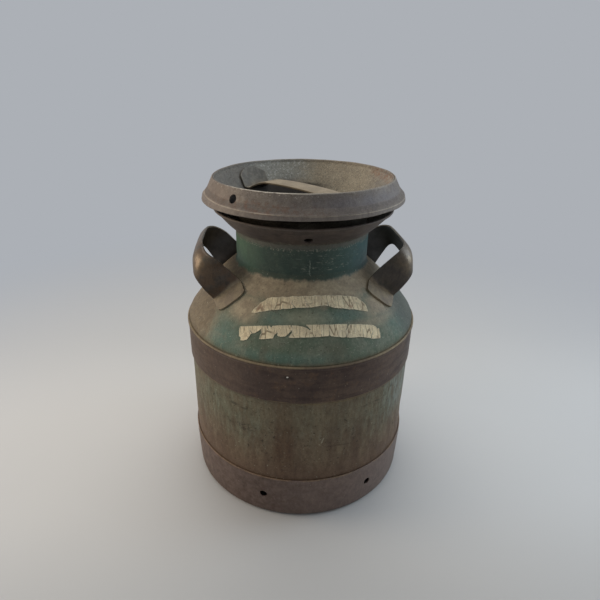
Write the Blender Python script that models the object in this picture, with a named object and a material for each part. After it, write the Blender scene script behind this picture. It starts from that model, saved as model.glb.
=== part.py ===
"""Five-gallon sheet-steel milk can with a recessed plug lid.

Units are metres, +Z is up, the origin is the centre of the foot ring's
underside. The front is -Y, where the mouth bowl has its seal-wire hole, and
the two side handles stand at +X and -X. The lid lifts straight out along +Z.
"""

import math

import bmesh
import bpy
import numpy as np
from mathutils import Vector

MM = 0.001

# ---- shared sizes ----------------------------------------------------------
SEGMENTS = 48                # facets round every turned shell
CORNER_STEPS = 3             # facets round the corners of the pan and the plug
GAP = 0.35 * MM              # clearance between neighbouring pieces
SHEET = 1.5 * MM             # body, breast, neck and lid sheet
BODY_R = 159.9 * MM          # outside of the cylindrical shell
NECK_R = 89.9 * MM           # outside of the neck
LID_RIM_Z = 438.6 * MM       # top of the lid
LID_EDGE_DROP = 0.8 * MM     # from the top to the cover's edge and the dish's rim
HOLE_SIDES = 16              # facets round the wire hole and the vent
CUT_LENGTH = 14.0 * MM       # length of their cutters


# ---- scene helpers ---------------------------------------------------------
def clear_scene():
    for obj in list(bpy.data.objects):
        bpy.data.objects.remove(obj, do_unlink=True)
    for mesh in list(bpy.data.meshes):
        bpy.data.meshes.remove(mesh)


def material(name, colour, roughness, metallic):
    mat = bpy.data.materials.new(name)
    mat.use_nodes = True
    shader = mat.node_tree.nodes["Principled BSDF"]
    shader.inputs["Base Color"].default_value = (*colour, 1.0)
    shader.inputs["Roughness"].default_value = roughness
    shader.inputs["Metallic"].default_value = metallic
    mat.diffuse_color = (*colour, 1.0)
    return mat


def empty(name, location):
    obj = bpy.data.objects.new(name, None)
    obj.location = location
    bpy.context.scene.collection.objects.link(obj)
    # brings matrix_world up to date for the pieces parented to it
    bpy.context.view_layer.update()
    return obj


def mesh_from(bm, name):
    """Turn a bmesh into a mesh and free it."""
    mesh = bpy.data.meshes.new(name)
    bm.to_mesh(mesh)
    bm.free()
    return mesh


def add_object(name, mesh, mat, parent, sharp_angle):
    """Link a mesh as an object that keeps its place under its parent."""
    mesh.shade_smooth()
    mesh.set_sharp_from_angle(angle=math.radians(sharp_angle))
    mesh.materials.append(mat)
    obj = bpy.data.objects.new(name, mesh)
    bpy.context.scene.collection.objects.link(obj)
    obj.parent = parent
    obj.matrix_parent_inverse = parent.matrix_world.inverted()
    return obj


def turned(name, profile, mat, parent, capped=False):
    """Spin a closed profile of (r, z) about the vertical axis.

    capped: the profile's first and last points lie on the axis.
    """
    bm = bmesh.new()
    verts = [bm.verts.new((r, 0.0, z)) for r, z in profile]
    pairs = list(zip(verts[:-1], verts[1:]))
    if not capped:
        pairs.append((verts[-1], verts[0]))
    edges = [bm.edges.new(pair) for pair in pairs]
    bmesh.ops.spin(bm, geom=verts + edges, cent=(0, 0, 0), axis=(0, 0, 1),
                   angle=2 * math.pi, steps=SEGMENTS, use_merge=True)
    bmesh.ops.remove_doubles(bm, verts=bm.verts, dist=1e-6)
    bmesh.ops.recalc_face_normals(bm, faces=bm.faces)
    return add_object(name, mesh_from(bm, name), mat, parent, sharp_angle=40.0)


def sheet(name, rows, thickness, mat, parent):
    """A strip of sheet metal or paper: a grid of points, made solid towards its
    normal side, which is (next row) x (next point in the row)."""
    bm = bmesh.new()
    grid = [[bm.verts.new(point) for point in row] for row in rows]
    for row, following in zip(grid[:-1], grid[1:]):
        for j in range(len(row) - 1):
            bm.faces.new((row[j], following[j], following[j + 1], row[j + 1]))
    obj = add_object(name, mesh_from(bm, name), mat, parent, sharp_angle=50.0)
    solid = obj.modifiers.new("thickness", "SOLIDIFY")
    solid.thickness = thickness
    solid.offset = 1.0
    solid.use_even_offset = True


def drill(obj, name, position, direction, diameter, length, sides):
    """Cut a round hole along direction, centred on position."""
    bm = bmesh.new()
    bmesh.ops.create_cone(bm, cap_ends=True, segments=sides, radius1=diameter / 2,
                          radius2=diameter / 2, depth=length)
    cutter = bpy.data.objects.new(name, mesh_from(bm, name))
    bpy.context.scene.collection.objects.link(cutter)
    cutter.rotation_mode = "QUATERNION"
    cutter.rotation_quaternion = Vector((0, 0, 1)).rotation_difference(direction.normalized())
    cutter.location = position
    cutter.hide_render = True
    cutter.display_type = "WIRE"
    cut = obj.modifiers.new(name, "BOOLEAN")
    cut.operation = "DIFFERENCE"
    cut.solver = "EXACT"
    cut.object = cutter


# ---- line helpers ----------------------------------------------------------
def polar(r, azimuth, z):
    """Point at radius r, azimuth in degrees from +X, and height z."""
    angle = math.radians(azimuth)
    return Vector((r * math.cos(angle), r * math.sin(angle), z))


def arc(centre, radius, start, end, steps):
    """Points (r, z) on an arc, angles in degrees."""
    angles = [math.radians(start + (end - start) * i / steps) for i in range(steps + 1)]
    return [(centre[0] + radius * math.cos(angle), centre[1] + radius * math.sin(angle))
            for angle in angles]


def shifted(r, z, offset):
    """Point (r, z) moved by an offset given in mm."""
    return (r + offset[0] * MM, z + offset[1] * MM)


def walk(start, heading, moves):
    """Chain of tangent arcs. Each move is (radius, turn in degrees, steps): a
    positive turn bends left. Returns points and the unit left normals at them."""
    r, z = start
    base = math.radians(heading)
    points = [(r, z)]
    normals = [(-math.sin(base), math.cos(base))]
    for radius, turn, steps in moves:
        signed = math.copysign(radius, turn)
        centre_r = r - signed * math.sin(base)
        centre_z = z + signed * math.cos(base)
        for i in range(1, steps + 1):
            angle = base + math.radians(turn) * i / steps
            points.append((centre_r + signed * math.sin(angle),
                           centre_z - signed * math.cos(angle)))
            normals.append((-math.sin(angle), math.cos(angle)))
        base += math.radians(turn)
        r, z = points[-1]
    return points, normals


def along_normals(points, normals, distance):
    return [(r + normal[0] * distance, z + normal[1] * distance)
            for (r, z), normal in zip(points, normals)]


def spline(rows, steps):
    """Catmull-Rom through rows of numbers."""
    first = [2 * a - b for a, b in zip(rows[0], rows[1])]
    last = [2 * a - b for a, b in zip(rows[-1], rows[-2])]
    rows = [first, *rows, last]
    out = []
    for i in range(1, len(rows) - 2):
        for k in range(steps):
            t = k / steps
            out.append([0.5 * (2 * b + (c - a) * t + (2 * a - 5 * b + 4 * c - d) * t * t
                               + (3 * b - a - 3 * c + d) * t ** 3)
                        for a, b, c, d in zip(*rows[i - 1:i + 3])])
    out.append(rows[-2])
    return out


# ---- body shell ------------------------------------------------------------
BODY_Z0 = 44.0 * MM          # the foot ring alone reaches the ground
BODY_Z1 = 238.0 * MM


def body_shell(mat, parent):
    inner = BODY_R - SHEET
    profile = [(BODY_R, BODY_Z0), (BODY_R, BODY_Z1), (inner, BODY_Z1), (inner, BODY_Z0)]
    turned("body_shell", profile, mat, parent)


# ---- bottom pan: a domed disc with a skirt, inside the body ----------------
PAN_Z = 58.0 * MM            # top of the rounded corner
PAN_RISE = 7.0 * MM          # height of the middle above it
PAN_MID_R = 0.5              # share of the radius where the dome bends
PAN_MID_RISE = 0.75          # share of the rise there
PAN_CORNER = 5.0 * MM
PAN_SKIRT = 10.0 * MM        # from the corner's top to the skirt's lower edge


def bottom_pan(mat, parent):
    edge = BODY_R - SHEET - GAP
    corner = (edge - PAN_CORNER, PAN_Z - PAN_CORNER)
    middle_z = PAN_Z + PAN_RISE
    bend_r = edge * PAN_MID_R
    bend_z = PAN_Z + PAN_RISE * PAN_MID_RISE
    skirt_z = PAN_Z - PAN_SKIRT
    profile = [(0.0, middle_z), (bend_r, bend_z)]
    profile += arc(corner, PAN_CORNER, 90, 0, CORNER_STEPS)
    profile += [(edge, skirt_z), (edge - SHEET, skirt_z)]
    profile += arc(corner, PAN_CORNER - SHEET, 0, 90, CORNER_STEPS)
    profile += [(bend_r, bend_z - SHEET), (0.0, middle_z - SHEET)]
    turned("bottom_pan", profile, mat, parent, capped=True)


# ---- foot ring -------------------------------------------------------------
FOOT_SHEET = 1.6 * MM
FOOT_R = BODY_R + GAP + FOOT_SHEET
FOOT_TOP = 67.0 * MM
FOOT_CURL_R = 156.4 * MM     # where the curled lower edge meets the ground
FOOT_CURL_STEPS = 4
FOOT_FLAT = 4.5 * MM         # width of the flat it stands on
FOOT_HOLE_D = 10.5 * MM
FOOT_HOLE_Z = 35.0 * MM
FOOT_HOLE_SIDES = 12
FOOT_CUT_LENGTH = 12.0 * MM
FOOT_HOLE_FIRST = -57.5      # azimuth in degrees
FOOT_HOLE_PITCH = 61.1       # from each of the first five holes to the next
FOOT_HOLE_SHORT = 54.3       # from the sixth hole to the first, across the front
FOOT_HOLE_AZIMUTHS = [FOOT_HOLE_FIRST + FOOT_HOLE_PITCH * i for i in range(5)]
FOOT_HOLE_AZIMUTHS.append(FOOT_HOLE_FIRST - FOOT_HOLE_SHORT)


def foot_ring(mat, parent):
    bend = FOOT_R - FOOT_CURL_R
    centre = (FOOT_CURL_R, bend)
    flat_inner = FOOT_CURL_R - FOOT_FLAT
    profile = [(FOOT_R, FOOT_TOP)]
    profile += arc(centre, bend, 0, -90, FOOT_CURL_STEPS)
    profile += [(flat_inner, 0.0), (flat_inner, FOOT_SHEET)]
    profile += arc(centre, bend - FOOT_SHEET, -90, 0, FOOT_CURL_STEPS)
    profile.append((FOOT_R - FOOT_SHEET, FOOT_TOP))
    ring = turned("foot_ring", profile, mat, parent)
    for i, azimuth in enumerate(FOOT_HOLE_AZIMUTHS):
        drill(ring, "cut_foot_hole_%d" % i, polar(FOOT_R, azimuth, FOOT_HOLE_Z),
              polar(1.0, azimuth, 0.0), FOOT_HOLE_D, FOOT_CUT_LENGTH, FOOT_HOLE_SIDES)


# ---- breast band: a hoop round the top of the body -------------------------
BAND_Z0 = 193.5 * MM
BAND_Z1 = 245.5 * MM
BAND_BEAD = 1.0 * MM         # how far the bead stands out, and its height unit
BEAD_START = BAND_Z1 - 4.0 * BAND_BEAD
BEAD_FULL_LOW = BAND_Z1 - 2.6 * BAND_BEAD
BEAD_FULL_HIGH = BAND_Z1 - BAND_BEAD


def breast_band(mat, parent):
    inner = BODY_R + GAP
    outer = inner + SHEET
    bead = outer + BAND_BEAD
    profile = [(inner, BAND_Z0), (outer, BAND_Z0), (outer, BEAD_START),
               (bead, BEAD_FULL_LOW), (bead, BEAD_FULL_HIGH),
               (outer, BAND_Z1), (inner, BAND_Z1)]
    turned("breast_band", profile, mat, parent)


# ---- breast (the shoulder) -------------------------------------------------
BREAST_Z0 = BODY_Z1 + GAP
BREAST_TURN_Z = 246.0 * MM   # where the shoulder leaves the cylinder
BREAST_CORNER_R = 16.0 * MM
BREAST_SLOPE_LOW = 54.0      # degrees above horizontal, at the outside
BREAST_SLOPE_HIGH = 39.0     # at the neck
BREAST_FILLET_R = 12.0 * MM
COLLAR = 1.5 * MM            # straight stub above the fillet
BREAST_STEPS = (3, 4, 3)     # facets along the corner, the dome and the fillet
FINE_STEPS = (12, 40, 12)    # the same for the line that tabs and paper sit on


def breast_line(steps):
    """The breast's outside line and normals, from the cylinder up to the neck."""
    low = 180.0 - BREAST_SLOPE_LOW
    high = 180.0 - BREAST_SLOPE_HIGH
    corner_run = BREAST_CORNER_R * (1 - math.cos(math.radians(low - 90.0)))
    fillet_run = BREAST_FILLET_R * (1 - math.sin(math.radians(high)))
    dome_run = BODY_R - NECK_R - corner_run - fillet_run
    dome_radius = dome_run / (math.sin(math.radians(low)) - math.sin(math.radians(high)))
    return walk((BODY_R, BREAST_TURN_Z), 90.0,
                [(BREAST_CORNER_R, low - 90.0, steps[0]),
                 (dome_radius, high - low, steps[1]),
                 (BREAST_FILLET_R, 90.0 - high, steps[2])])


FINE_LINE = breast_line(FINE_STEPS)[0]
COLLAR_TOP = FINE_LINE[-1][1] + COLLAR


def breast_radius(z):
    radii, heights = zip(*FINE_LINE)
    return np.interp(z, heights, radii)


def seat(point, lift):
    """Move a point so it is `lift` outside the breast. Also returns how far
    outside the breast it was, negative when inside."""
    rho = math.hypot(point.x, point.y)
    nearest = math.inf
    for (r0, z0), (r1, z1) in zip(FINE_LINE[:-1], FINE_LINE[1:]):
        dr = r1 - r0
        dz = z1 - z0
        t = ((rho - r0) * dr + (point.z - z0) * dz) / (dr * dr + dz * dz)
        t = min(1.0, max(0.0, t))
        foot_r = r0 + dr * t
        foot_z = z0 + dz * t
        reach = math.hypot(rho - foot_r, point.z - foot_z)
        if reach < nearest:
            nearest = reach
            size = math.hypot(dr, dz)
            normal_r = dz / size
            normal_z = -dr / size
            side = (rho - foot_r) * normal_r + (point.z - foot_z) * normal_z
            distance = math.copysign(reach, side)
            seat_r = foot_r + normal_r * lift
            seat_z = foot_z + normal_z * lift
    scale = seat_r / rho
    return Vector((point.x * scale, point.y * scale, seat_z)), distance


def breast(mat, parent):
    points, normals = breast_line(BREAST_STEPS)
    points = [(BODY_R, BREAST_Z0), *points, (points[-1][0], COLLAR_TOP)]
    normals = [(-1.0, 0.0), *normals, (-1.0, 0.0)]
    inner = along_normals(points, normals, SHEET)
    turned("breast", points + inner[::-1], mat, parent)


# ---- neck tube: its narrower lower end reaches down inside the breast ------
NECK_TOP = 369.5 * MM
SPIGOT = 14.0 * MM           # reach below the collar's top
NECK_STEP_HIGH = 2.5 * MM    # inside step down to the spigot, above the collar's top
NECK_STEP_LOW = 0.5 * MM


def neck_tube(mat, parent):
    bore = NECK_R - SHEET
    spigot_outer = bore - GAP
    spigot_inner = spigot_outer - SHEET
    spigot_z = COLLAR_TOP - SPIGOT
    profile = [(NECK_R, COLLAR_TOP + GAP), (NECK_R, NECK_TOP), (bore, NECK_TOP),
               (bore, COLLAR_TOP + NECK_STEP_HIGH), (spigot_inner, COLLAR_TOP + NECK_STEP_LOW),
               (spigot_inner, spigot_z), (spigot_outer, spigot_z),
               (spigot_outer, COLLAR_TOP + GAP)]
    turned("neck_tube", profile, mat, parent)


# ---- mouth bowl ------------------------------------------------------------
BOWL_R0 = 91.6 * MM
BOWL_R1 = 120.2 * MM
BOWL_Z1 = 399.4 * MM
BOWL_CHORD_ANGLE = 45.0
BOWL_SWEEP = 14.0            # degrees of curvature between neck and lip
BOWL_STEPS = 3
BOWL_BEND_OUT = 0.6 * MM     # inner bend above the neck: outward from the bore
BOWL_BEND_UP = 0.2 * MM      # and above the point one sheet inside the line
WIRE_HOLE_D = 11.0 * MM
WIRE_HOLE_Z = 380.5 * MM
WIRE_HOLE_AZIMUTH = -90.0


def bowl_line():
    """The bowl's outside line and normals, from the neck up to the lip."""
    chord_angle = math.radians(BOWL_CHORD_ANGLE)
    chord = (BOWL_R1 - BOWL_R0) / math.cos(chord_angle)
    radius = chord / (2 * math.sin(math.radians(BOWL_SWEEP / 2)))
    low_z = BOWL_Z1 - (BOWL_R1 - BOWL_R0) * math.tan(chord_angle)
    return walk((BOWL_R0, low_z), BOWL_CHORD_ANGLE - BOWL_SWEEP / 2,
                [(radius, BOWL_SWEEP, BOWL_STEPS)])


def mouth_bowl(mat, parent):
    points, normals = bowl_line()
    foot_z = NECK_TOP + GAP
    bore = NECK_R - SHEET
    inner = along_normals(points, normals, SHEET)
    bend = (bore + BOWL_BEND_OUT, inner[0][1] + BOWL_BEND_UP)
    inner = [(bore, foot_z), bend, *inner[1:]]
    bowl = turned("mouth_bowl", [(NECK_R, foot_z), *points, *inner[::-1]], mat, parent)
    # centred on the outline point nearest in height, and running out and down
    hole_r = min(points, key=lambda point: abs(point[1] - WIRE_HOLE_Z))[0]
    drill(bowl, "cut_wire_hole", polar(hole_r, WIRE_HOLE_AZIMUTH, WIRE_HOLE_Z),
          polar(1.0, WIRE_HOLE_AZIMUTH, -1.0), WIRE_HOLE_D, CUT_LENGTH, HOLE_SIDES)


# ---- side handles ----------------------------------------------------------
# Stations on the +X strap from the front tab to the middle of the grip:
# upper edge (x, y, z), lower edge (x, y, z), crown across the strap, in mm
HANDLE_STATIONS = (
    ((78.3, -80.0, 309.0), (110.0, -78.5, 280.5), 0.0),    # end of the tab
    ((83.4, -64.0, 315.5), (117.0, -58.5, 286.0), 0.0),    # strap leaves the breast
    ((96.0, -61.5, 329.0), (128.5, -60.5, 301.5), 1.0),
    ((109.0, -61.0, 341.5), (137.0, -60.5, 315.0), 3.0),
    ((122.5, -54.5, 350.5), (141.0, -54.5, 322.0), 4.0),   # corner
    ((131.0, -40.0, 354.5), (142.5, -41.0, 326.0), 5.0),
    ((133.0, -20.0, 355.0), (142.5, -20.0, 327.0), 5.0),
    ((133.0, 0.0, 355.0), (142.5, 0.0, 327.0), 5.0),       # middle of the grip
)
HANDLE_SHEET = 2.2 * MM
HANDLE_STEPS = 2             # strap rows between stations
HANDLE_ACROSS = 6            # facets across the strap
HANDLE_LIFT = GAP + 0.2 * MM     # clearance over the breast
TAB_BOW = 4.5 * MM           # how far the tab's end bows out


def handle_rows():
    """Inner face of the +X strap: rows from the front tab to the rear tab, each
    running from the lower edge to the upper."""
    front = [[*upper, *lower, crown] for upper, lower, crown in HANDLE_STATIONS]
    rear = [[ux, -uy, uz, lx, -ly, lz, crown]
            for ux, uy, uz, lx, ly, lz, crown in front[-2::-1]]
    stations = spline(front + rear, HANDLE_STEPS)
    uppers = [Vector(station[0:3]) * MM for station in stations]
    lowers = [Vector(station[3:6]) * MM for station in stations]
    # the spline dips below zero next to the flat tabs
    crowns = [max(station[6], 0.0) * MM for station in stations]
    middles = [(upper + lower) / 2 for upper, lower in zip(uppers, lowers)]
    last = len(stations) - 1
    rows = []
    for i, (middle, crown) in enumerate(zip(middles, crowns)):
        tangent = (middles[min(i + 1, last)] - middles[max(i - 1, 0)]).normalized()
        chord = (uppers[i] - lowers[i]) / 2
        outward = tangent.cross(chord.normalized()).normalized()
        from_end = min(i, last - i)
        row = []
        for j in range(HANDLE_ACROSS + 1):
            t = math.sin(-math.pi / 2 + math.pi * j / HANDLE_ACROSS)
            point = middle + chord * t + outward * crown * (1 - t * t)
            if from_end == 0:
                away = -tangent if i == 0 else tangent
                point += away * TAB_BOW * (1 - t ** 4)
            seated, distance = seat(point, HANDLE_LIFT)
            # tabs lie on the breast, the rest only keeps clear of it
            if from_end <= HANDLE_STEPS or distance < HANDLE_LIFT:
                point = seated
            row.append(point)
        rows.append(row)
    return rows


def handle_right(mat, parent):
    sheet("handle_right", handle_rows(), HANDLE_SHEET, mat, parent)


def handle_left(mat, parent):
    # rows are reversed so that the mirrored strap still thickens outward
    rows = [[Vector((-point.x, point.y, point.z)) for point in row[::-1]]
            for row in handle_rows()]
    sheet("handle_left", rows, HANDLE_SHEET, mat, parent)


# ---- paper strips stuck on the breast --------------------------------------
PAPER_T = 0.5 * MM
PAPER_ALONG = 20
PAPER_ACROSS = 3
# Azimuths of the two ends, then for the lower and the upper edge: height in mm,
# fall in mm per square degree and middle azimuth. A straight strip sinks
# towards its ends. The last number is the phase of the wandering.
PAPER_UPPER = (-123.5, -52.5, (299.0, 0.0085, -88.0), (311.8, 0.0055, -87.0), 1.3)
PAPER_LOWER = (-126.7, -52.5, (274.2, 0.0085, -91.0), (286.0, 0.0078, -91.0), 2.1)
# Waves along an edge: amplitude in mm, factor on the phase, radians end to end
LOWER_EDGE_WAVES = ((0.7, 1, 9.0), (0.4, 2, 23.0))
UPPER_EDGE_WAVES = ((0.5, 3, 11.0),)
# The wave across each end has its amplitude in degrees of azimuth
END_WAVES = ((1.2, 5, 4.0),)


def wander(waves, phase, t):
    return sum(amplitude * math.sin(factor * phase + sweep * t)
               for amplitude, factor, sweep in waves)


def paper_strip(name, layout, mat, parent):
    """Torn strip of paper on the breast; its ends and edges wander a little."""
    start, end, lower_edge, upper_edge, phase = layout
    rows = []
    for i in range(PAPER_ALONG + 1):
        t = i / PAPER_ALONG
        azimuth = start + (end - start) * t
        low, high = [(height - fall * (azimuth - middle) ** 2 + wander(waves, phase, t)) * MM
                     for (height, fall, middle), waves in ((lower_edge, LOWER_EDGE_WAVES),
                                                           (upper_edge, UPPER_EDGE_WAVES))]
        row = []
        for j in range(PAPER_ACROSS + 1):
            q = j / PAPER_ACROSS
            z = low + (high - low) * q
            ragged = wander(END_WAVES, phase, q) if i in (0, PAPER_ALONG) else 0.0
            row.append(seat(polar(breast_radius(z), azimuth + ragged, z), GAP)[0])
        rows.append(row)
    sheet(name, rows, PAPER_T, mat, parent)


# ---- lid cover: the flared skirt outside the dish --------------------------
LID_RIM_R = 119.0 * MM
LID_WAIST_R = 126.4 * MM
LID_WAIST_Z = 423.5 * MM
LID_CREST_R = 132.2 * MM
LID_CREST_Z = 418.6 * MM
LID_LIP_R = 133.4 * MM
LID_LIP_Z = 411.7 * MM
LID_RIM_EASE = 0.4 * MM      # the top corner is eased inward by this
# Offsets (r, z) in mm
CREST_STEP = (-1.0, 1.6)     # from the crest to the outer point above it
WAIST_INNER = (-1.2, -1.5)   # from the outer waist to the inner
CREST_INNER = (0.0, -0.4)    # from a sheet inside the crest
RIM_INNER = (-0.2, -3.0)     # from a sheet inside the rim
VENT_D = 12.0 * MM
VENT_AZIMUTH = -134.8
VENT_Z = 426.5 * MM


def lid_cover(mat, parent):
    profile = [(LID_RIM_R - LID_RIM_EASE, LID_RIM_Z),
               (LID_RIM_R, LID_RIM_Z - LID_EDGE_DROP),
               (LID_WAIST_R, LID_WAIST_Z),
               shifted(LID_CREST_R, LID_CREST_Z, CREST_STEP),
               (LID_CREST_R, LID_CREST_Z),
               (LID_LIP_R, LID_LIP_Z),
               (LID_LIP_R - SHEET, LID_LIP_Z),
               shifted(LID_CREST_R - SHEET, LID_CREST_Z, CREST_INNER),
               shifted(LID_WAIST_R, LID_WAIST_Z, WAIST_INNER),
               shifted(LID_RIM_R - SHEET, LID_RIM_Z, RIM_INNER),
               (LID_RIM_R - SHEET, LID_RIM_Z)]
    cover = turned("lid_cover", profile, mat, parent)
    # the vent is square to the wall between waist and rim
    rise = LID_RIM_Z - LID_WAIST_Z
    spread = LID_WAIST_R - LID_RIM_R
    vent_r = LID_WAIST_R - spread * (VENT_Z - LID_WAIST_Z) / rise
    drill(cover, "cut_vent", polar(vent_r, VENT_AZIMUTH, VENT_Z),
          polar(rise, VENT_AZIMUTH, spread), VENT_D, CUT_LENGTH, HOLE_SIDES)


# ---- lid dish: sloping wall and the plug below it --------------------------
DISH_RIM_R = 116.9 * MM
DISH_RIM_Z = LID_RIM_Z - LID_EDGE_DROP
DISH_BEND_Z = LID_RIM_Z - 4.0 * MM   # where the rim turns into the wall
DISH_BEND_IN = 0.3 * MM
DISH_NECK_R = 87.6 * MM      # plug where it enters the neck
DISH_NECK_Z = 386.0 * MM
PLUG_R = 87.1 * MM
PLUG_Z = 348.0 * MM
PLUG_CORNER = 9.0 * MM
# Offsets (r, z) in mm from the neck point
WALL_FOOT_OUTER = (1.6, 2.4)
WALL_FOOT_INNER = (0.1, 3.4)
NECK_INNER_RISE = 0.8 * MM
# Ends of the wall's upper face, (r, z)
WALL_HIGH = (DISH_RIM_R - 1.6 * SHEET, DISH_BEND_Z)
WALL_LOW = shifted(DISH_NECK_R, DISH_NECK_Z, WALL_FOOT_INNER)


def lid_dish(mat, parent):
    corner = (PLUG_R - PLUG_CORNER, PLUG_Z + PLUG_CORNER)
    under = [(0.0, PLUG_Z)]
    under += arc(corner, PLUG_CORNER, -90, 0, CORNER_STEPS)
    under += [(DISH_NECK_R, DISH_NECK_Z),
              shifted(DISH_NECK_R, DISH_NECK_Z, WALL_FOOT_OUTER),
              (DISH_RIM_R - DISH_BEND_IN, DISH_BEND_Z),
              (DISH_RIM_R, DISH_RIM_Z)]
    upper = [(DISH_RIM_R - SHEET, DISH_RIM_Z), WALL_HIGH, WALL_LOW,
             (DISH_NECK_R - SHEET, DISH_NECK_Z + NECK_INNER_RISE)]
    upper += arc(corner, PLUG_CORNER - SHEET, 0, -90, CORNER_STEPS)
    upper.append((0.0, PLUG_Z + SHEET))
    turned("lid_dish", under + upper, mat, parent, capped=True)


def wall_at(z):
    """Radius of the dish wall's upper face at height z."""
    share = (WALL_HIGH[1] - z) / (WALL_HIGH[1] - WALL_LOW[1])
    return WALL_HIGH[0] + (WALL_LOW[0] - WALL_HIGH[0]) * share


# ---- lid handle: a strap across the dish -----------------------------------
GRIP_AZIMUTH = 130.0
GRIP_W = 33.0 * MM
GRIP_TAB_W = 46.0 * MM       # the tabs are wider than the strap
GRIP_T = 2.2 * MM
GRIP_ACROSS = 6
GRIP_LIFT = GAP + 0.25 * MM  # clearance square to the dish wall
GRIP_TAB_TOP = 431.8 * MM
GRIP_TAB_LOW = 411.0 * MM
GRIP_TAB_STEPS = 5
GRIP_TAB_CROWDING = 1.4      # power that crowds the rows towards the tab's top
GRIP_BEND_R = 5.0 * MM       # where the strap turns up from the wall
GRIP_BEND_STEPS = 5
GRIP_CLIMB = 28.0            # degrees above horizontal, leaving the bend
GRIP_RAMP_POWER = 1.6        # how the climb flattens out
GRIP_RAMP_STEPS = 4
GRIP_SPAN_Z = 419.0 * MM     # where the ramp meets the span
GRIP_CROWN = 2.0 * MM        # rise of the span to its middle
GRIP_SPAN_STEPS = 3
TAB_ROUND = 9.0 * MM         # height over which the tab's top is rounded
TAB_ROUND_START = 0.8 * MM   # part of that cut off at the top row
NARROWING_ROWS = 5           # rows past the tab that draw in to the strap's width
FLATTENING_ROWS = 9          # rows past the tab that lose the wall's curve


def grip_line():
    """Centre line (distance along the strap, z) from wall to wall."""
    slope = math.atan2(wall_at(GRIP_TAB_TOP) - wall_at(GRIP_TAB_LOW),
                       GRIP_TAB_TOP - GRIP_TAB_LOW)
    lift = GRIP_LIFT / math.cos(slope)
    half = []
    for i in range(GRIP_TAB_STEPS + 1):
        t = (i / GRIP_TAB_STEPS) ** GRIP_TAB_CROWDING
        z = GRIP_TAB_TOP + (GRIP_TAB_LOW - GRIP_TAB_TOP) * t
        half.append((wall_at(z) - lift, z))
    dip = 90.0 - math.degrees(slope)
    half += walk(half[-1], dip - 180.0,
                 [(GRIP_BEND_R, -(dip + GRIP_CLIMB), GRIP_BEND_STEPS)])[0][1:]
    r, z = half[-1]
    rise = GRIP_SPAN_Z - z
    reach = rise / math.tan(math.radians(GRIP_CLIMB)) * GRIP_RAMP_POWER
    for i in range(1, GRIP_RAMP_STEPS + 1):
        t = i / GRIP_RAMP_STEPS
        half.append((r - reach * t, z + rise * (1 - (1 - t) ** GRIP_RAMP_POWER)))
    r = half[-1][0]
    for i in range(1, GRIP_SPAN_STEPS + 1):
        t = i / GRIP_SPAN_STEPS
        half.append((r * (1 - t), GRIP_SPAN_Z + GRIP_CROWN * (1 - (1 - t) ** 2)))
    return half + [(-r, z) for r, z in half[-2::-1]]


def grip_half_width(z, past_tab):
    """Rounded on the tab, then drawn in to the strap's width round the bend."""
    if past_tab <= 0:
        drop = GRIP_TAB_TOP - z + TAB_ROUND_START
        return GRIP_TAB_W / 2 * math.sqrt(min(1.0, drop / TAB_ROUND))
    return GRIP_W / 2 + (GRIP_TAB_W - GRIP_W) / 2 * max(0.0, 1 - past_tab / NARROWING_ROWS)


def lid_handle(mat, parent):
    line = grip_line()
    along = polar(1.0, GRIP_AZIMUTH, 0.0)
    side = polar(1.0, GRIP_AZIMUTH + 90.0, 0.0)
    rows = []
    for i, (s, z) in enumerate(line):
        past_tab = min(i, len(line) - 1 - i) - GRIP_TAB_STEPS
        half_width = grip_half_width(z, past_tab)
        flatness = min(1.0, max(0.0, past_tab / FLATTENING_ROWS))
        row = []
        for j in range(GRIP_ACROSS + 1):
            off = half_width * (1 - 2 * j / GRIP_ACROSS)
            # against the round wall the strap follows its curve
            curved = math.sqrt(s * s - off * off) if abs(s) > abs(off) else abs(s)
            distance = math.copysign(curved * (1 - flatness) + abs(s) * flatness, s)
            row.append(along * distance + side * off + Vector((0, 0, z)))
        rows.append(row)
    sheet("lid_handle", rows, GRIP_T, mat, parent)


# ---- materials: base colour, roughness, metallic ---------------------------
MATERIALS = {
    "weathered_brown_steel": ((0.075, 0.055, 0.043), 0.62, 0.35),
    "weathered_olive_paint": ((0.070, 0.062, 0.045), 0.66, 0.10),
    "worn_green_paint": ((0.070, 0.095, 0.075), 0.62, 0.05),
    "dark_green_paint": ((0.030, 0.060, 0.045), 0.50, 0.05),
    "dull_tinned_steel": ((0.110, 0.100, 0.088), 0.58, 0.45),
    "pitted_tinned_steel": ((0.150, 0.135, 0.115), 0.60, 0.40),
    "handle_steel": ((0.055, 0.048, 0.042), 0.45, 0.55),
    "dusty_strap_steel": ((0.210, 0.185, 0.140), 0.65, 0.25),
    "tinned_inside": ((0.180, 0.170, 0.150), 0.50, 0.50),
    "aged_paper": ((0.360, 0.310, 0.210), 0.85, 0.0),
}


def main():
    clear_scene()
    mats = {name: material(name, *look) for name, look in MATERIALS.items()}
    can = empty("can_frame", (0, 0, 0))
    lid = empty("lid_lift_axis", (0, 0, LID_RIM_Z))

    body_shell(mats["weathered_olive_paint"], can)
    bottom_pan(mats["tinned_inside"], can)
    foot_ring(mats["weathered_brown_steel"], can)
    breast_band(mats["weathered_brown_steel"], can)
    breast(mats["worn_green_paint"], can)
    neck_tube(mats["dark_green_paint"], can)
    mouth_bowl(mats["weathered_brown_steel"], can)
    handle_right(mats["handle_steel"], can)
    handle_left(mats["handle_steel"], can)
    paper_strip("paper_strip_upper", PAPER_UPPER, mats["aged_paper"], can)
    paper_strip("paper_strip_lower", PAPER_LOWER, mats["aged_paper"], can)

    lid_cover(mats["dull_tinned_steel"], lid)
    lid_dish(mats["pitted_tinned_steel"], lid)
    lid_handle(mats["dusty_strap_steel"], lid)


main()
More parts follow.
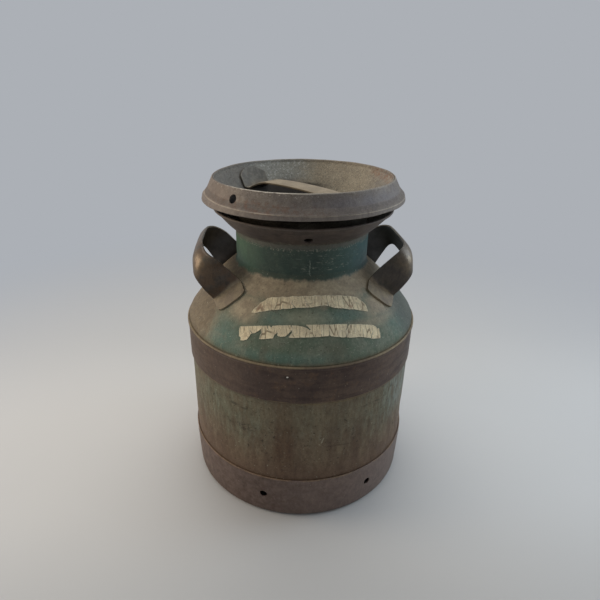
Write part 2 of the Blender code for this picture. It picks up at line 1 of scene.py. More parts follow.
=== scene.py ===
"""Painted milk can with its lid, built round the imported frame.

The can stands on the floor with its axis on Z, its front towards -Y and its
handles at +X (right) and -X (left). Lengths in the builders are millimetres;
meshes are written in metres. "Turn" is the angle round the can in degrees:
0 at the front (-Y), +90 at the right handle, -90 at the left handle.
Profiles are lists of (radius, height).
"""

import math
from functools import cached_property, reduce

import bmesh
import bpy
import numpy as np
from mathutils import Matrix, Vector


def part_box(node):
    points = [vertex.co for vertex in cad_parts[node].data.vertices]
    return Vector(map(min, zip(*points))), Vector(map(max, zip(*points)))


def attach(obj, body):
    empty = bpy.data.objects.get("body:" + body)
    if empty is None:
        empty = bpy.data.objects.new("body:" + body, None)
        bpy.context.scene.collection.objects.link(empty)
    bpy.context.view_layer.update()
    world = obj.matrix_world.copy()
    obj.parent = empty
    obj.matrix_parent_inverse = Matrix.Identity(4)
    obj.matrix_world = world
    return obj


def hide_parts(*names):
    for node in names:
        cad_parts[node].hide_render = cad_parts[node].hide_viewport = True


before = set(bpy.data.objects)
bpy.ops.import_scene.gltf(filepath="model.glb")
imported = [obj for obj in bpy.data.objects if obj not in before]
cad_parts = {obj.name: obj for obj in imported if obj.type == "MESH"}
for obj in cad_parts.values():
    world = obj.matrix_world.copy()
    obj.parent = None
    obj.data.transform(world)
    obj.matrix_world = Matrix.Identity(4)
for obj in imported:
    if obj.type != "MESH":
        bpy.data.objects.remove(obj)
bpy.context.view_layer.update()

MM = 1000.0            # millimetres in a metre
SEGMENTS = 240         # round the can


def span(node):
    low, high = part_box(node)
    return np.array(low) * MM, np.array(high) * MM


# ---- sizes: R is a radius, Z a height ---------------------------------------------
SHEET = 1.5
HANDLE_SHEET = 2.2
PAINT_DEPTH = 0.8      # wall points deeper than this belong to the inner face
BODY_LOW, BODY_HIGH = span("body_shell")
BODY_R, BODY_Z0, BODY_Z1 = BODY_HIGH[0], BODY_LOW[2], BODY_HIGH[2]
FOOT_R, FOOT_TOP = span("foot_ring")[1][0], span("foot_ring")[1][2]
PAN_TOP = span("bottom_pan")[1][2]
BAND_Z0, BAND_Z1 = span("breast_band")[0][2], span("breast_band")[1][2]
BAND_R = span("breast_band")[1][0] - 1.0
BREAST_Z0, BREAST_TOP = span("breast")[0][2], span("breast")[1][2]
NECK_R, NECK_TOP = span("neck_tube")[1][0], span("neck_tube")[1][2]
NECK_LOW = span("neck_tube")[0][2]
BOWL_R, BOWL_TOP = span("mouth_bowl")[1][0], 399.4
LIP_R, LIP_Z, RIM_Z = span("lid_cover")[1][0], span("lid_cover")[0][2], span("lid_cover")[1][2]
RIM_R, WAIST_R, WAIST_Z = 119.0, 126.4, 423.5
CREST_R, CREST_Z = 132.2, 417.2
DISH_RIM_R, DISH_NECK_R, DISH_NECK_Z = span("lid_dish")[1][0], 87.6, 386.0
PLUG_R, PLUG_Z = 87.1, span("lid_dish")[0][2]

# ---- how the sheet has been knocked about ------------------------------------------
# waves: depth, number round the can, phase, twist in radians per mm of height
CAN_WAVES = ((0.30, 2, 0.6, 0.0), (0.20, 3, -1.1, 0.013), (0.12, 5, 2.0, 0.021))
WALL_WAVES = ((0.16, 17, 0.9, 0.02), (0.13, 29, 2.2, -0.03), (0.12, 11, 0.0, 0.045))
LID_WAVES = ((0.30, 2, -0.8, 0.0), (0.20, 3, 1.3, 0.0), (0.14, 7, 0.4, 0.0), (0.08, 13, 2.0, 0.0))
SKIRT_WAVES = ((0.28, 3, 0.2, 0.0), (0.20, 8, 1.7, 0.0), (0.12, 19, 0.0, 0.0))

# shallow dents in the shell and shoulder: turn, height, half widths in both, depth
DENTS = (
    (13.5, 124.0, 9.0, 10.0, -1.1), (-24.0, 110.0, 10.0, 16.0, -0.5),
    (34.0, 150.0, 8.0, 20.0, -0.6), (-52.0, 140.0, 9.0, 24.0, -0.7),
    (64.0, 105.0, 12.0, 16.0, -0.8), (118.0, 140.0, 12.0, 22.0, -1.0),
    (-128.0, 120.0, 14.0, 20.0, -0.9), (170.0, 150.0, 10.0, 18.0, -1.2),
    (-8.0, 285.0, 14.0, 12.0, -0.5), (27.0, 268.0, 10.0, 9.0, -0.5),
    (160.0, 282.0, 14.0, 12.0, -0.8), (-160.0, 300.0, 12.0, 12.0, -0.6),
)


def bell(value, centre, width):
    return np.exp(-((value - centre) / width) ** 2)


def grown(value, start, length):
    """0 up to start, 1 from start + length on, straight between."""
    return np.clip((value - start) / length, 0, 1)


def waves(table, angle, z=0.0):
    return sum(depth * np.sin(count * angle + phase + twist * z)
               for depth, count, phase, twist in table)


def pushed_out(points, radius, move):
    out = points.copy()
    out[:, :2] *= (1.0 + move / np.maximum(radius, 1.0))[:, None]
    return out


def can_warp(points):
    """The whole can is a little out of round, and its walls are rippled."""
    x, y, z = points.T
    radius = np.hypot(x, y)
    angle = np.arctan2(x, -y)
    turn = np.degrees(angle)
    move = waves(CAN_WAVES, angle, z) * (radius / 160.0) ** 3
    wall = bell(z, centre=131.0, width=62.0) * grown(radius, start=150.0, length=8.0)
    move += wall * waves(WALL_WAVES, angle, z)
    for dent_turn, dent_z, half_turn, half_z, depth in DENTS:
        away = (turn - dent_turn + 180.0) % 360.0 - 180.0
        move += (depth * bell(away, 0, half_turn) * bell(z, dent_z, half_z)
                 * grown(radius, start=95.0, length=20.0))
    # the mouth is pushed in at the left
    move += -2.4 * bell(turn, centre=-92.0, width=36.0) * grown(z, start=376.0, length=14.0)
    # the foot leans in towards the floor
    foot_height = 62.0
    move += (-2.6 * grown(foot_height - z, start=0.0, length=foot_height) ** 1.2
             * grown(radius, start=60.0, length=40.0))
    # a sloping, wavy crease pressed into the shell
    away = turn - 14.0
    line = 120.8 - 0.24 * away + 1.6 * np.cos(away * 0.30)
    move += -0.9 * wall * bell(away, centre=0, width=7.5) * bell(z, line, width=2.2)
    return pushed_out(points, radius, move)


def lid_warp(points):
    """The lid's skirt is knocked about more than its plug."""
    x, y, _ = points.T
    radius = np.hypot(x, y)
    angle = np.arctan2(x, -y)
    turn = np.degrees(angle)
    share = grown(radius, start=84.0, length=45.0) ** 1.5
    move = share * (waves(LID_WAVES, angle) - 1.9 * bell(turn, centre=-88.0, width=38.0))
    rise = share * grown(radius, start=112.0, length=6.0) * waves(SKIRT_WAVES, angle)
    # the left of the skirt is knocked down, the right stands up a little
    rise += share * (-3.6 * bell(turn, centre=-90.0, width=46.0)
                     + 1.0 * bell(turn, centre=95.0, width=40.0))
    out = pushed_out(points, radius, move)
    out[:, 2] += rise
    return out


# ---- profiles ------------------------------------------------------------------------
def bend(start, corner, end, share):
    """A point of the curve that leaves start and reaches end, pulled to the corner."""
    return tuple((1 - share) ** 2 * np.array(start) + 2 * share * (1 - share) * np.array(corner)
                 + share * share * np.array(end))


def rounded(points, steps=4):
    """Closed outline of (r, z, radius): a corner with a radius becomes a curve."""
    out = []
    for i, (r, z, radius) in enumerate(points):
        if radius <= 0:
            out.append((r, z))
            continue
        corner = np.array((r, z), float)
        back = np.array(points[i - 1][:2], float) - corner
        ahead = np.array(points[(i + 1) % len(points)][:2], float) - corner
        back_size, ahead_size = np.linalg.norm(back), np.linalg.norm(ahead)
        back, ahead = back / back_size, ahead / ahead_size
        angle = math.acos(max(-1.0, min(1.0, float(back @ ahead))))
        reach = min(radius / math.tan(angle / 2), 0.48 * back_size, 0.48 * ahead_size)
        out += [bend(corner + back * reach, corner, corner + ahead * reach, k / steps)
                for k in range(steps + 1)]
    return out


def dense(points, step, closed=True):
    """No side of the outline longer than step."""
    out = []
    for a, b in zip(points, points[1:] + ([points[0]] if closed else [])):
        count = max(1, int(math.ceil(math.hypot(b[0] - a[0], b[1] - a[1]) / step)))
        for k in range(count):
            out.append((a[0] + (b[0] - a[0]) * k / count, a[1] + (b[1] - a[1]) * k / count))
    if not closed:
        out.append(points[-1])
    return out


def arc(centre, radius, degrees):
    return [(centre[0] + radius * math.cos(math.radians(d)),
             centre[1] + radius * math.sin(math.radians(d))) for d in degrees]


def walk(start, heading, moves):
    """Tangent chain of arcs and its normals. Each move is (radius, turn in degrees, steps)."""
    r, z = start
    heading = math.radians(heading)
    points, normals = [(r, z)], [(-math.sin(heading), math.cos(heading))]
    for radius, turn, steps in moves:
        side = math.copysign(1.0, turn)
        centre_r = r - side * radius * math.sin(heading)
        centre_z = z + side * radius * math.cos(heading)
        for i in range(1, steps + 1):
            angle = heading + math.radians(turn) * i / steps
            points.append((centre_r + side * radius * math.sin(angle),
                           centre_z - side * radius * math.cos(angle)))
            normals.append((-math.sin(angle), math.cos(angle)))
        heading += math.radians(turn)
        r, z = points[-1]
    return points, normals


def sheet_back(points, normals):
    return [(r + n[0] * SHEET, z + n[1] * SHEET) for (r, z), n in zip(points, normals)]


def to_segment(x, y, start, end):
    """Share along the segment of its nearest point to (x, y), and the distance to it."""
    dx, dy = end[0] - start[0], end[1] - start[1]
    along = (x - start[0]) * dx + (y - start[1]) * dy
    share = np.clip(along / max(dx * dx + dy * dy, 1e-9), 0, 1)
    return share, np.hypot(x - start[0] - dx * share, y - start[1] - dy * share)


def clearance(line, x, y):
    """Distance of points from a chain of straight pieces."""
    return np.min([to_segment(x, y, a, b)[1] for a, b in zip(line[:-1], line[1:])], axis=0)


# ---- mesh builders -------------------------------------------------------------------
def smooth(mesh, sharp):
    mesh.shade_smooth()
    mesh.set_sharp_from_angle(angle=math.radians(sharp))


def mark(mesh, **values):
    """Write number attributes on the points."""
    for name, numbers in values.items():
        mesh.attributes.new(name, "FLOAT", "POINT").data.foreach_set(
            "value", np.asarray(numbers, np.float32).reshape(-1))


def linked(name, data):
    obj = bpy.data.objects.new(name, data)
    bpy.context.scene.collection.objects.link(obj)
    return obj


def finish_mesh(name, mesh, materials, sharp):
    mesh.validate()
    smooth(mesh, sharp)
    for mat in materials:
        mesh.materials.append(mat)
    return linked(name, mesh)


def applied(obj):
    """Replace the mesh by its evaluated form, so no modifier is left."""
    graph = bpy.context.evaluated_depsgraph_get()
    graph.update()
    made = bpy.data.meshes.new_from_object(obj.evaluated_get(graph))
    old = obj.data
    obj.modifiers.clear()
    obj.data = made
    name = old.name
    bpy.data.meshes.remove(old)
    made.name = name


def nowhere(r, z):
    return r < 0


def turned(name, outline, material, warp, inner=nowhere, capped=False, segments=SEGMENTS):
    """Spin an outline. inner(r, z) tells which points belong to the inner face.
    capped: the outline's first and last points are on the axis."""
    area = sum(a[0] * b[1] - b[0] * a[1] for a, b in zip(outline, outline[1:] + outline[:1]))
    if area < 0:
        outline = outline[::-1]
    ring = outline[1:-1] if capped else outline
    count = len(ring)
    angles = np.arange(segments) * 2 * math.pi / segments
    r, z = np.array([p[0] for p in ring]), np.array([p[1] for p in ring])
    points = np.zeros((count, segments, 3))
    points[:, :, 0] = r[:, None] * np.cos(angles)
    points[:, :, 1] = r[:, None] * np.sin(angles)
    points[:, :, 2] = z[:, None]
    points = points.reshape(-1, 3)
    flags = np.repeat(inner(r, z), segments)
    here = np.arange(segments)
    ahead = (here + 1) % segments
    faces = []
    for i in range(count - 1 if capped else count):
        low, high = i * segments, (i + 1) % count * segments
        faces += np.stack([low + here, low + ahead, high + ahead, high + here], 1).tolist()
    if capped:
        first, last = len(points), len(points) + 1
        end_z = np.array([outline[0][1], outline[-1][1]])
        points = np.vstack([points, [[0.0, 0.0, end_z[0]], [0.0, 0.0, end_z[1]]]])
        flags = np.concatenate([flags, inner(np.zeros(2), end_z)])
        faces += np.stack([np.full(segments, first), ahead, here], 1).tolist()
        base = (count - 1) * segments
        faces += np.stack([np.full(segments, last), base + here, base + ahead], 1).tolist()
    mesh = bpy.data.meshes.new(name)
    mesh.from_pydata((warp(points) / MM).tolist(), [], faces)
    mark(mesh, inner=flags)
    return finish_mesh(name, mesh, [material], sharp=38.0)


def polar(r, turn, z):
    angle = math.radians(turn - 90.0)
    return Vector((r * math.cos(angle), r * math.sin(angle), z))


def punch(obj, holes):
    """Round holes with dressed edges. Each: centre, direction, diameter, reach, flare."""
    sides = 40
    bm = bmesh.new()
    for centre, direction, diameter, reach, flare in holes:
        aim = Vector((0, 0, 1)).rotation_difference(Vector(direction).normalized())
        rings = []
        # depth along the hole, and what is added to its radius there
        for depth, extra in ((-reach, 0.0), (-0.9, 0.0), (-0.35, 0.06), (0.0, flare * 0.45),
                             (0.35, flare), (reach, flare + 0.2)):
            ring = []
            for k in range(sides):
                angle = 2 * math.pi * k / sides
                local = Vector(((diameter / 2 + extra) * math.cos(angle),
                                (diameter / 2 + extra) * math.sin(angle), depth))
                ring.append(bm.verts.new((Vector(centre) + aim @ local) / MM))
            rings.append(ring)
        for low, high in zip(rings[:-1], rings[1:]):
            for k in range(sides):
                n = (k + 1) % sides
                bm.faces.new((low[k], low[n], high[n], high[k]))
        bm.faces.new(rings[0][::-1])
        bm.faces.new(rings[-1])
    mesh = bpy.data.meshes.new("cutter")
    bm.to_mesh(mesh)
    bm.free()
    cutter = linked("cutter", mesh)
    cut = obj.modifiers.new("cut", "BOOLEAN")
    cut.operation = "DIFFERENCE"
    cut.solver = "EXACT"
    cut.object = cutter
    applied(obj)
    bpy.data.objects.remove(cutter, do_unlink=True)
    bpy.data.meshes.remove(mesh)
    smooth(obj.data, sharp=38.0)


def strap(name, rows, thickness, edge, materials, along, across, warp):
    """A strip of sheet: rows of points, thickened on its normal side, with dressed
    edges. The second material goes on the strap's other face."""
    grid = np.array([[tuple(p) for p in row] for row in rows], float)
    count, wide = grid.shape[:2]
    faces = [(i * wide + j, (i + 1) * wide + j, (i + 1) * wide + j + 1, i * wide + j + 1)
             for i in range(count - 1) for j in range(wide - 1)]
    mesh = bpy.data.meshes.new(name)
    mesh.from_pydata((warp(grid.reshape(-1, 3)) / MM).tolist(), [], faces)
    mark(mesh, along=along, across=across)
    obj = finish_mesh(name, mesh, materials, sharp=50.0)
    solid = obj.modifiers.new("thickness", "SOLIDIFY")
    solid.thickness = thickness / MM
    solid.offset = 1.0
    solid.use_even_offset = True
    solid.material_offset = 1
    bevel = obj.modifiers.new("edge", "BEVEL")
    bevel.width = edge / MM
    bevel.segments = 3
    bevel.limit_method = "ANGLE"
    bevel.angle_limit = math.radians(55)
    applied(obj)
    smooth(obj.data, sharp=42.0)
    return obj


# ---- the shoulder's outside line -------------------------------------------------------
# start height and radius of the lower corner, slopes in degrees at the dome's two
# ends, and radius of the fillet into the neck
TURN_Z, CORNER_R, SLOPE_LOW, SLOPE_HIGH, FILLET_R = 246.0, 16.0, 54.0, 39.0, 12.0


def breast_line(corner_steps, dome_steps, fillet_steps):
    low, high = 180.0 - SLOPE_LOW, 180.0 - SLOPE_HIGH
    corner_run = CORNER_R * (1 - math.cos(math.radians(low - 90.0)))
    fillet_run = FILLET_R * (1 - math.sin(math.radians(high)))
    run = BODY_R - NECK_R - corner_run - fillet_run
    dome_r = run / (math.sin(math.radians(low)) - math.sin(math.radians(high)))
    return walk((BODY_R, TURN_Z), 90.0, [(CORNER_R, low - 90.0, corner_steps),
                                         (dome_r, high - low, dome_steps),
                                         (FILLET_R, 90.0 - high, fillet_steps)])


SHOULDER = np.array(breast_line(14, 60, 14)[0])


def shoulder_radius(z):
    return float(np.interp(z, SHOULDER[:, 1], SHOULDER[:, 0]))


def seat(point, lift):
    """Move a point so it is `lift` mm outside the shoulder; also its distance from it."""
    radius = math.hypot(point[0], point[1])
    start, step = SHOULDER[:-1], np.diff(SHOULDER, axis=0)
    share = np.clip(((radius - start[:, 0]) * step[:, 0] + (point[2] - start[:, 1]) * step[:, 1])
                    / (step * step).sum(1), 0, 1)
    foot = start + step * share[:, None]
    reach = np.hypot(radius - foot[:, 0], point[2] - foot[:, 1])
    k = int(reach.argmin())
    size = math.hypot(*step[k])
    normal_r, normal_z = step[k][1] / size, -step[k][0] / size
    side = (radius - foot[k][0]) * normal_r + (point[2] - foot[k][1]) * normal_z
    scale = (foot[k][0] + normal_r * lift) / radius
    moved = Vector((point[0] * scale, point[1] * scale, foot[k][1] + normal_z * lift))
    return moved, math.copysign(reach[k], side)


# ---- node shorthand ----------------------------------------------------------------------
def rgb(red, green, blue, gain=1.0):
    """Linear colour from 0-255 display values."""
    out = []
    for value in (red, green, blue):
        value = value / 255.0
        linear = value / 12.92 if value <= 0.04045 else ((value + 0.055) / 1.055) ** 2.4
        out.append(linear * gain)
    return tuple(out) + (1.0,)


BACKDROP = rgb(172, 176, 182)


class Signal:
    """A shader output that can be reckoned with; each operation adds a node."""

    def __init__(self, graph, socket):
        self.graph, self.socket = graph, socket

    def __add__(self, other):
        return self.graph.math("ADD", self, other)

    def __radd__(self, other):
        return self.graph.math("ADD", other, self)

    def __sub__(self, other):
        return self.graph.math("SUBTRACT", self, other)

    def __rsub__(self, other):
        return self.graph.math("SUBTRACT", other, self)

    def __mul__(self, other):
        return self.graph.math("MULTIPLY", self, other)

    def __abs__(self):
        return self.graph.math("ABSOLUTE", self)

    def flip(self):
        return self.graph.math("SUBTRACT", 1.0, self, use_clamp=True)

    def ramp(self, start, end):
        """0 on start's side, 1 on end's side, smooth between; start may be above end."""
        falls = float(start > end)
        return self.graph.signal("ShaderNodeMapRange", {
            "Value": self, "From Min": min(start, end), "From Max": max(start, end),
            "To Min": falls, "To Max": 1.0 - falls}, interpolation_type="SMOOTHSTEP")

    def band(self, low, high, soft):
        """1 between low and high, with borders `soft` to either side."""
        return self.ramp(low - soft, low + soft) * self.ramp(high + soft, high - soft)


class Graph:
    """An emptied node tree. Inputs are signals or plain values."""

    def __init__(self, tree):
        self.nodes, self.links = tree.nodes, tree.links
        self.nodes.clear()

    def put(self, socket, value):
        if isinstance(value, Signal):
            self.links.new(value.socket, socket)
        else:
            socket.default_value = value

    def node(self, kind, inputs=None, **settings):
        made = self.nodes.new(kind)
        for key, value in settings.items():
            setattr(made, key, value)
        for key, value in (inputs or {}).items():
            self.put(made.inputs[key], value)
        return made

    def signal(self, kind, inputs=None, output=0, **settings):
        return Signal(self, self.node(kind, inputs, **settings).outputs[output])

    def split(self, vector):
        parts = self.node("ShaderNodeSeparateXYZ", {0: vector}).outputs
        return [Signal(self, part) for part in parts]

    def math(self, operation, a, b=0.0, **settings):
        return self.signal("ShaderNodeMath", {0: a, 1: b}, operation=operation, **settings)

    def most(self, *signals):
        return reduce(lambda a, b: self.math("MAXIMUM", a, b), signals)


class Finish(Graph):
    """A surface material, painted in coats. Lengths are mm. A colour is a signal,
    a 0-255 display triple or a linear colour of four values."""

    def __init__(self, name):
        self.mat = bpy.data.materials.new(name)
        self.mat.use_nodes = True
        super().__init__(self.mat.node_tree)
        self.shader = self.node("ShaderNodeBsdfPrincipled")
        self.surface = Signal(self, self.shader.outputs[0])
        self.output = self.node("ShaderNodeOutputMaterial", {0: self.surface})
        self.colour = None

    # places on the object, made when first asked for
    @cached_property
    def place(self):
        return self.signal("ShaderNodeTexCoord", output="Object")

    @cached_property
    def axes(self):
        """x, y and z in metres."""
        return self.split(self.place)

    @cached_property
    def z(self):
        return self.axes[2] * MM

    @cached_property
    def turn(self):
        return self.math("ARCTAN2", self.axes[0], self.axes[1] * -1.0) * 57.29578

    @cached_property
    def fold(self):
        """The turn, run back to 0 behind the can, for patterns that have to meet there."""
        around = abs(self.turn)
        return self.math("SIGN", self.turn) * self.math("MINIMUM", around, 180.0 - around)

    @cached_property
    def radius(self):
        x, y, _ = self.axes
        return self.math("SQRT", x * x + y * y) * MM

    def value_of(self, name):
        return self.signal("ShaderNodeAttribute", output="Fac", attribute_name=name)

    def noise(self, size, detail=4, rough=0.6, stretch=None, shift=None, at=None, wander=0.0):
        """Noise with features about `size` mm across, in 0 to 1 round 0.5."""
        at = at or self.place
        if stretch:
            at = self.signal("ShaderNodeVectorMath", {0: at, 1: stretch}, operation="MULTIPLY")
        if shift:
            at = self.signal("ShaderNodeVectorMath", {0: at, 1: (shift, shift * 1.7, shift * 0.6)},
                             operation="ADD")
        return self.signal("ShaderNodeTexNoise", {
            "Vector": at, "Scale": MM / size, "Detail": detail, "Roughness": rough,
            "Distortion": wander}, "Fac")

    def cell_edges(self, size, at):
        """Distance from the borders of cells about `size` mm across."""
        return self.signal("ShaderNodeTexVoronoi", {
            "Vector": at, "Scale": MM / size, "Randomness": 1.0}, "Distance",
            feature="DISTANCE_TO_EDGE")

    def blob(self, centre, half, soft, wobble=0.0, size=14.0):
        """A patch of the wall, 1 inside. centre and half widths are (turn, z); the
        border is pushed about by noise of `size` mm."""
        a = (self.turn - centre[0]) * (1.0 / half[0])
        b = (self.z - centre[1]) * (1.0 / half[1])
        away = self.math("SQRT", a * a + b * b)
        if wobble:
            away = away + (self.noise(size) - 0.5) * wobble
        return away.ramp(1.0 + soft, 1.0 - soft)

    def near_turn(self, turn, half):
        """1 where the turn is within `half` degrees of the given one, across the back too."""
        away = self.math("COSINE", (self.turn - turn) * (math.pi / 180.0))
        return away.ramp(math.cos(math.radians(half * 1.45)), math.cos(math.radians(half * 0.60)))

    def mix(self, share, under, over, blend="MIX"):
        under, over = [rgb(*c) if isinstance(c, tuple) and len(c) == 3 else c
                       for c in (under, over)]
        return self.signal("ShaderNodeMix", {0: share, 6: under, 7: over}, 2,
                           data_type="RGBA", blend_type=blend, clamp_factor=True)

    def coat(self, share, colour):
        """Lay a colour over what is there, as thickly as share."""
        self.colour = self.mix(share, self.colour, colour)

    def shade(self, gain):
        """Multiply the colour by a grey value."""
        grey = self.signal("ShaderNodeCombineColor", {0: gain, 1: gain, 2: gain})
        self.colour = self.mix(1.0, self.colour, grey, "MULTIPLY")

    def mottle(self, amount):
        """Grime and wear a few mm across, darker and paler in equal parts."""
        spots = self.noise(4.6, rough=0.78, stretch=(1, 1, 0.6))
        self.shade(1.0 - amount / 2 + spots * amount)

    def close(self, relief, rough, metallic, specular):
        """Wire up the surface; relief is a height in mm."""
        bump = self.signal("ShaderNodeBump", {"Strength": 1.0, "Distance": 0.001, "Height": relief})
        for name, value in (("Base Color", self.colour), ("Roughness", rough),
                            ("Metallic", metallic), ("Specular IOR Level", specular),
                            ("Normal", bump)):
            self.put(self.shader.inputs[name], value)
        return self.mat


# ---- finishes ------------------------------------------------------------------------------
def old_tin(mat, gain=1.0):
    """Dull tinned sheet with rust freckles, and its pits; used inside the can and lid."""
    cloud = mat.noise(26.0, detail=6, rough=0.62)
    grain = mat.noise(2.4, rough=0.7)
    pits = mat.noise(1.5, detail=3, shift=0.31).ramp(0.56, 0.70)
    base = mat.mix(cloud.ramp(0.36, 0.66), rgb(118, 110, 98, gain), rgb(88, 79, 69, gain))
    base = mat.mix(grain.ramp(0.42, 0.62) * 0.5, base, rgb(138, 130, 118, gain))
    return mat.mix(pits * 0.6, base, rgb(66, 54, 44, gain)), pits


def tin_inside(mat):
    mat.coat(mat.value_of("inner"), old_tin(mat)[0])


def body_paint():
    mat = Finish("body_paint")
    fine = mat.noise(5.0, detail=6, rough=0.70, stretch=(1, 1, 0.22))
    wide = mat.noise(17.0, detail=5, rough=0.62, stretch=(1, 1, 0.26))
    drift = mat.noise(60.0, shift=0.7)
    speck = mat.noise(1.7, rough=0.68)
    blot = mat.noise(9.0, detail=5, rough=0.7, shift=1.9)
    # brown, turning olive high up and most of all at the sides
    height = mat.z + (wide - 0.5) * 90.0
    sides = mat.most(mat.fold.ramp(18.0, 46.0), mat.fold.ramp(-14.0, -34.0))
    green = height.ramp(92.0, 158.0) * (0.42 + sides * 0.58)
    green = green * (0.45 + drift.ramp(0.34, 0.62) * 0.55)
    brown = mat.mix(wide.ramp(0.35, 0.68), (98, 80, 63), (124, 106, 84))
    olive = mat.mix(fine.ramp(0.36, 0.66), (103, 98, 77), (117, 119, 99))
    mat.colour = mat.mix(green, brown, olive)
    # grey bloom, rust and a rusty upright stripe
    grey = fine.ramp(0.50, 0.74) * (0.25 + green * 0.75)
    mat.coat(grey * 0.45, (134, 134, 116))
    rust = fine.ramp(0.47, 0.30) * drift.ramp(0.40, 0.62)
    mat.coat(rust * 0.45, (84, 62, 46))
    stripe = mat.blob((-12.0, 135.0), (4.5, 75.0), soft=0.7, wobble=0.9, size=20.0)
    mat.coat(stripe * 0.55, (92, 66, 46))
    # short dark knocks
    ticks = mat.noise(4.2, detail=3, rough=0.5, shift=2.7).ramp(0.625, 0.68)
    mat.coat(ticks * 0.62, (48, 41, 31))
    # painted cool light high on the right, in grey patches
    cool = mat.fold.ramp(34.0, 54.0) * mat.z.ramp(112.0, 160.0) * fine.ramp(0.36, 0.60)
    mat.coat(cool * 0.55, (140, 152, 148))
    # dark scuffs; three of them are broken up
    broken = mat.noise(3.0, detail=3, shift=9.1).ramp(0.44, 0.56)
    scuffs = mat.most(
        mat.blob((-36.0, 173.5), (2.6, 2.2), soft=0.6, wobble=1.4, size=5.0),
        mat.blob((-31.0, 171.5), (2.4, 1.3), soft=0.6, wobble=1.4, size=5.0),
        mat.blob((30.0, 173.0), (10.0, 1.8), soft=0.7, wobble=1.6, size=6.0) * broken,
        mat.blob((-30.0, 142.0), (5.0, 5.0), soft=0.7, wobble=1.8, size=6.0) * broken,
        mat.blob((46.0, 181.0), (2.0, 2.6), soft=0.6, wobble=1.4, size=6.0) * broken)
    mat.coat(scuffs * 0.6, (48, 41, 34))
    # dirt in the crease
    away = mat.turn - 14.0
    line = 120.0 - away * 0.24 - abs(away) * 0.06
    crease = abs(mat.z - line).ramp(1.7, 0.3) * abs(away).ramp(8.0, 5.0)
    mat.coat(crease * speck.ramp(0.36, 0.54) * 0.45, (60, 44, 36))
    # painted shade next to both hoops, and a tan line under the upper one
    dark_edge = mat.most(mat.z.ramp(FOOT_TOP + 9.0, FOOT_TOP + 0.5),
                         mat.z.ramp(BAND_Z0 - 5.0, BAND_Z0 - 0.5))
    mat.coat(dark_edge * 0.5, (70, 54, 42))
    tan_line = (mat.z.band(BAND_Z0 - 3.6, BAND_Z0 - 2.2, soft=0.7)
                * (mat.turn.band(-8.0, 24.0, soft=10.0) * drift.ramp(0.30, 0.48)))
    mat.coat(tan_line * 0.65, (132, 114, 78))
    # brown near the foot, pale specks and a pale patch high at the front
    mat.coat(mat.z.ramp(104.0, 74.0) * (0.35 + blot * 0.6), (106, 84, 67))
    light = mat.noise(2.6, detail=2, rough=0.5, shift=3.3).ramp(0.68, 0.74)
    mat.coat(light * 0.55, (170, 166, 142))
    pale = mat.blob((0.0, 172.0), (30.0, 18.0), soft=0.9, wobble=0.8, size=12.0)
    mat.coat(pale * 0.30, (132, 122, 96))
    # one leaning bright nick
    nick_z = 132.5
    tilt = mat.turn + (mat.z - nick_z) * -0.11
    nick = abs(tilt - 6.2).ramp(0.42, 0.15) * abs(mat.z - nick_z).ramp(5.5, 3.0)
    mat.coat(nick * 0.8, (178, 170, 145))
    mat.mottle(1.35)
    mat.shade(0.59 + speck * 0.81)
    tin_inside(mat)
    return mat.close(relief=fine * 0.10 + speck * 0.10 + blot * 0.14 + ticks * -0.08 + nick * -0.25,
                     rough=0.50 + mat.noise(12.0) * 0.28, metallic=0.05, specular=0.35)


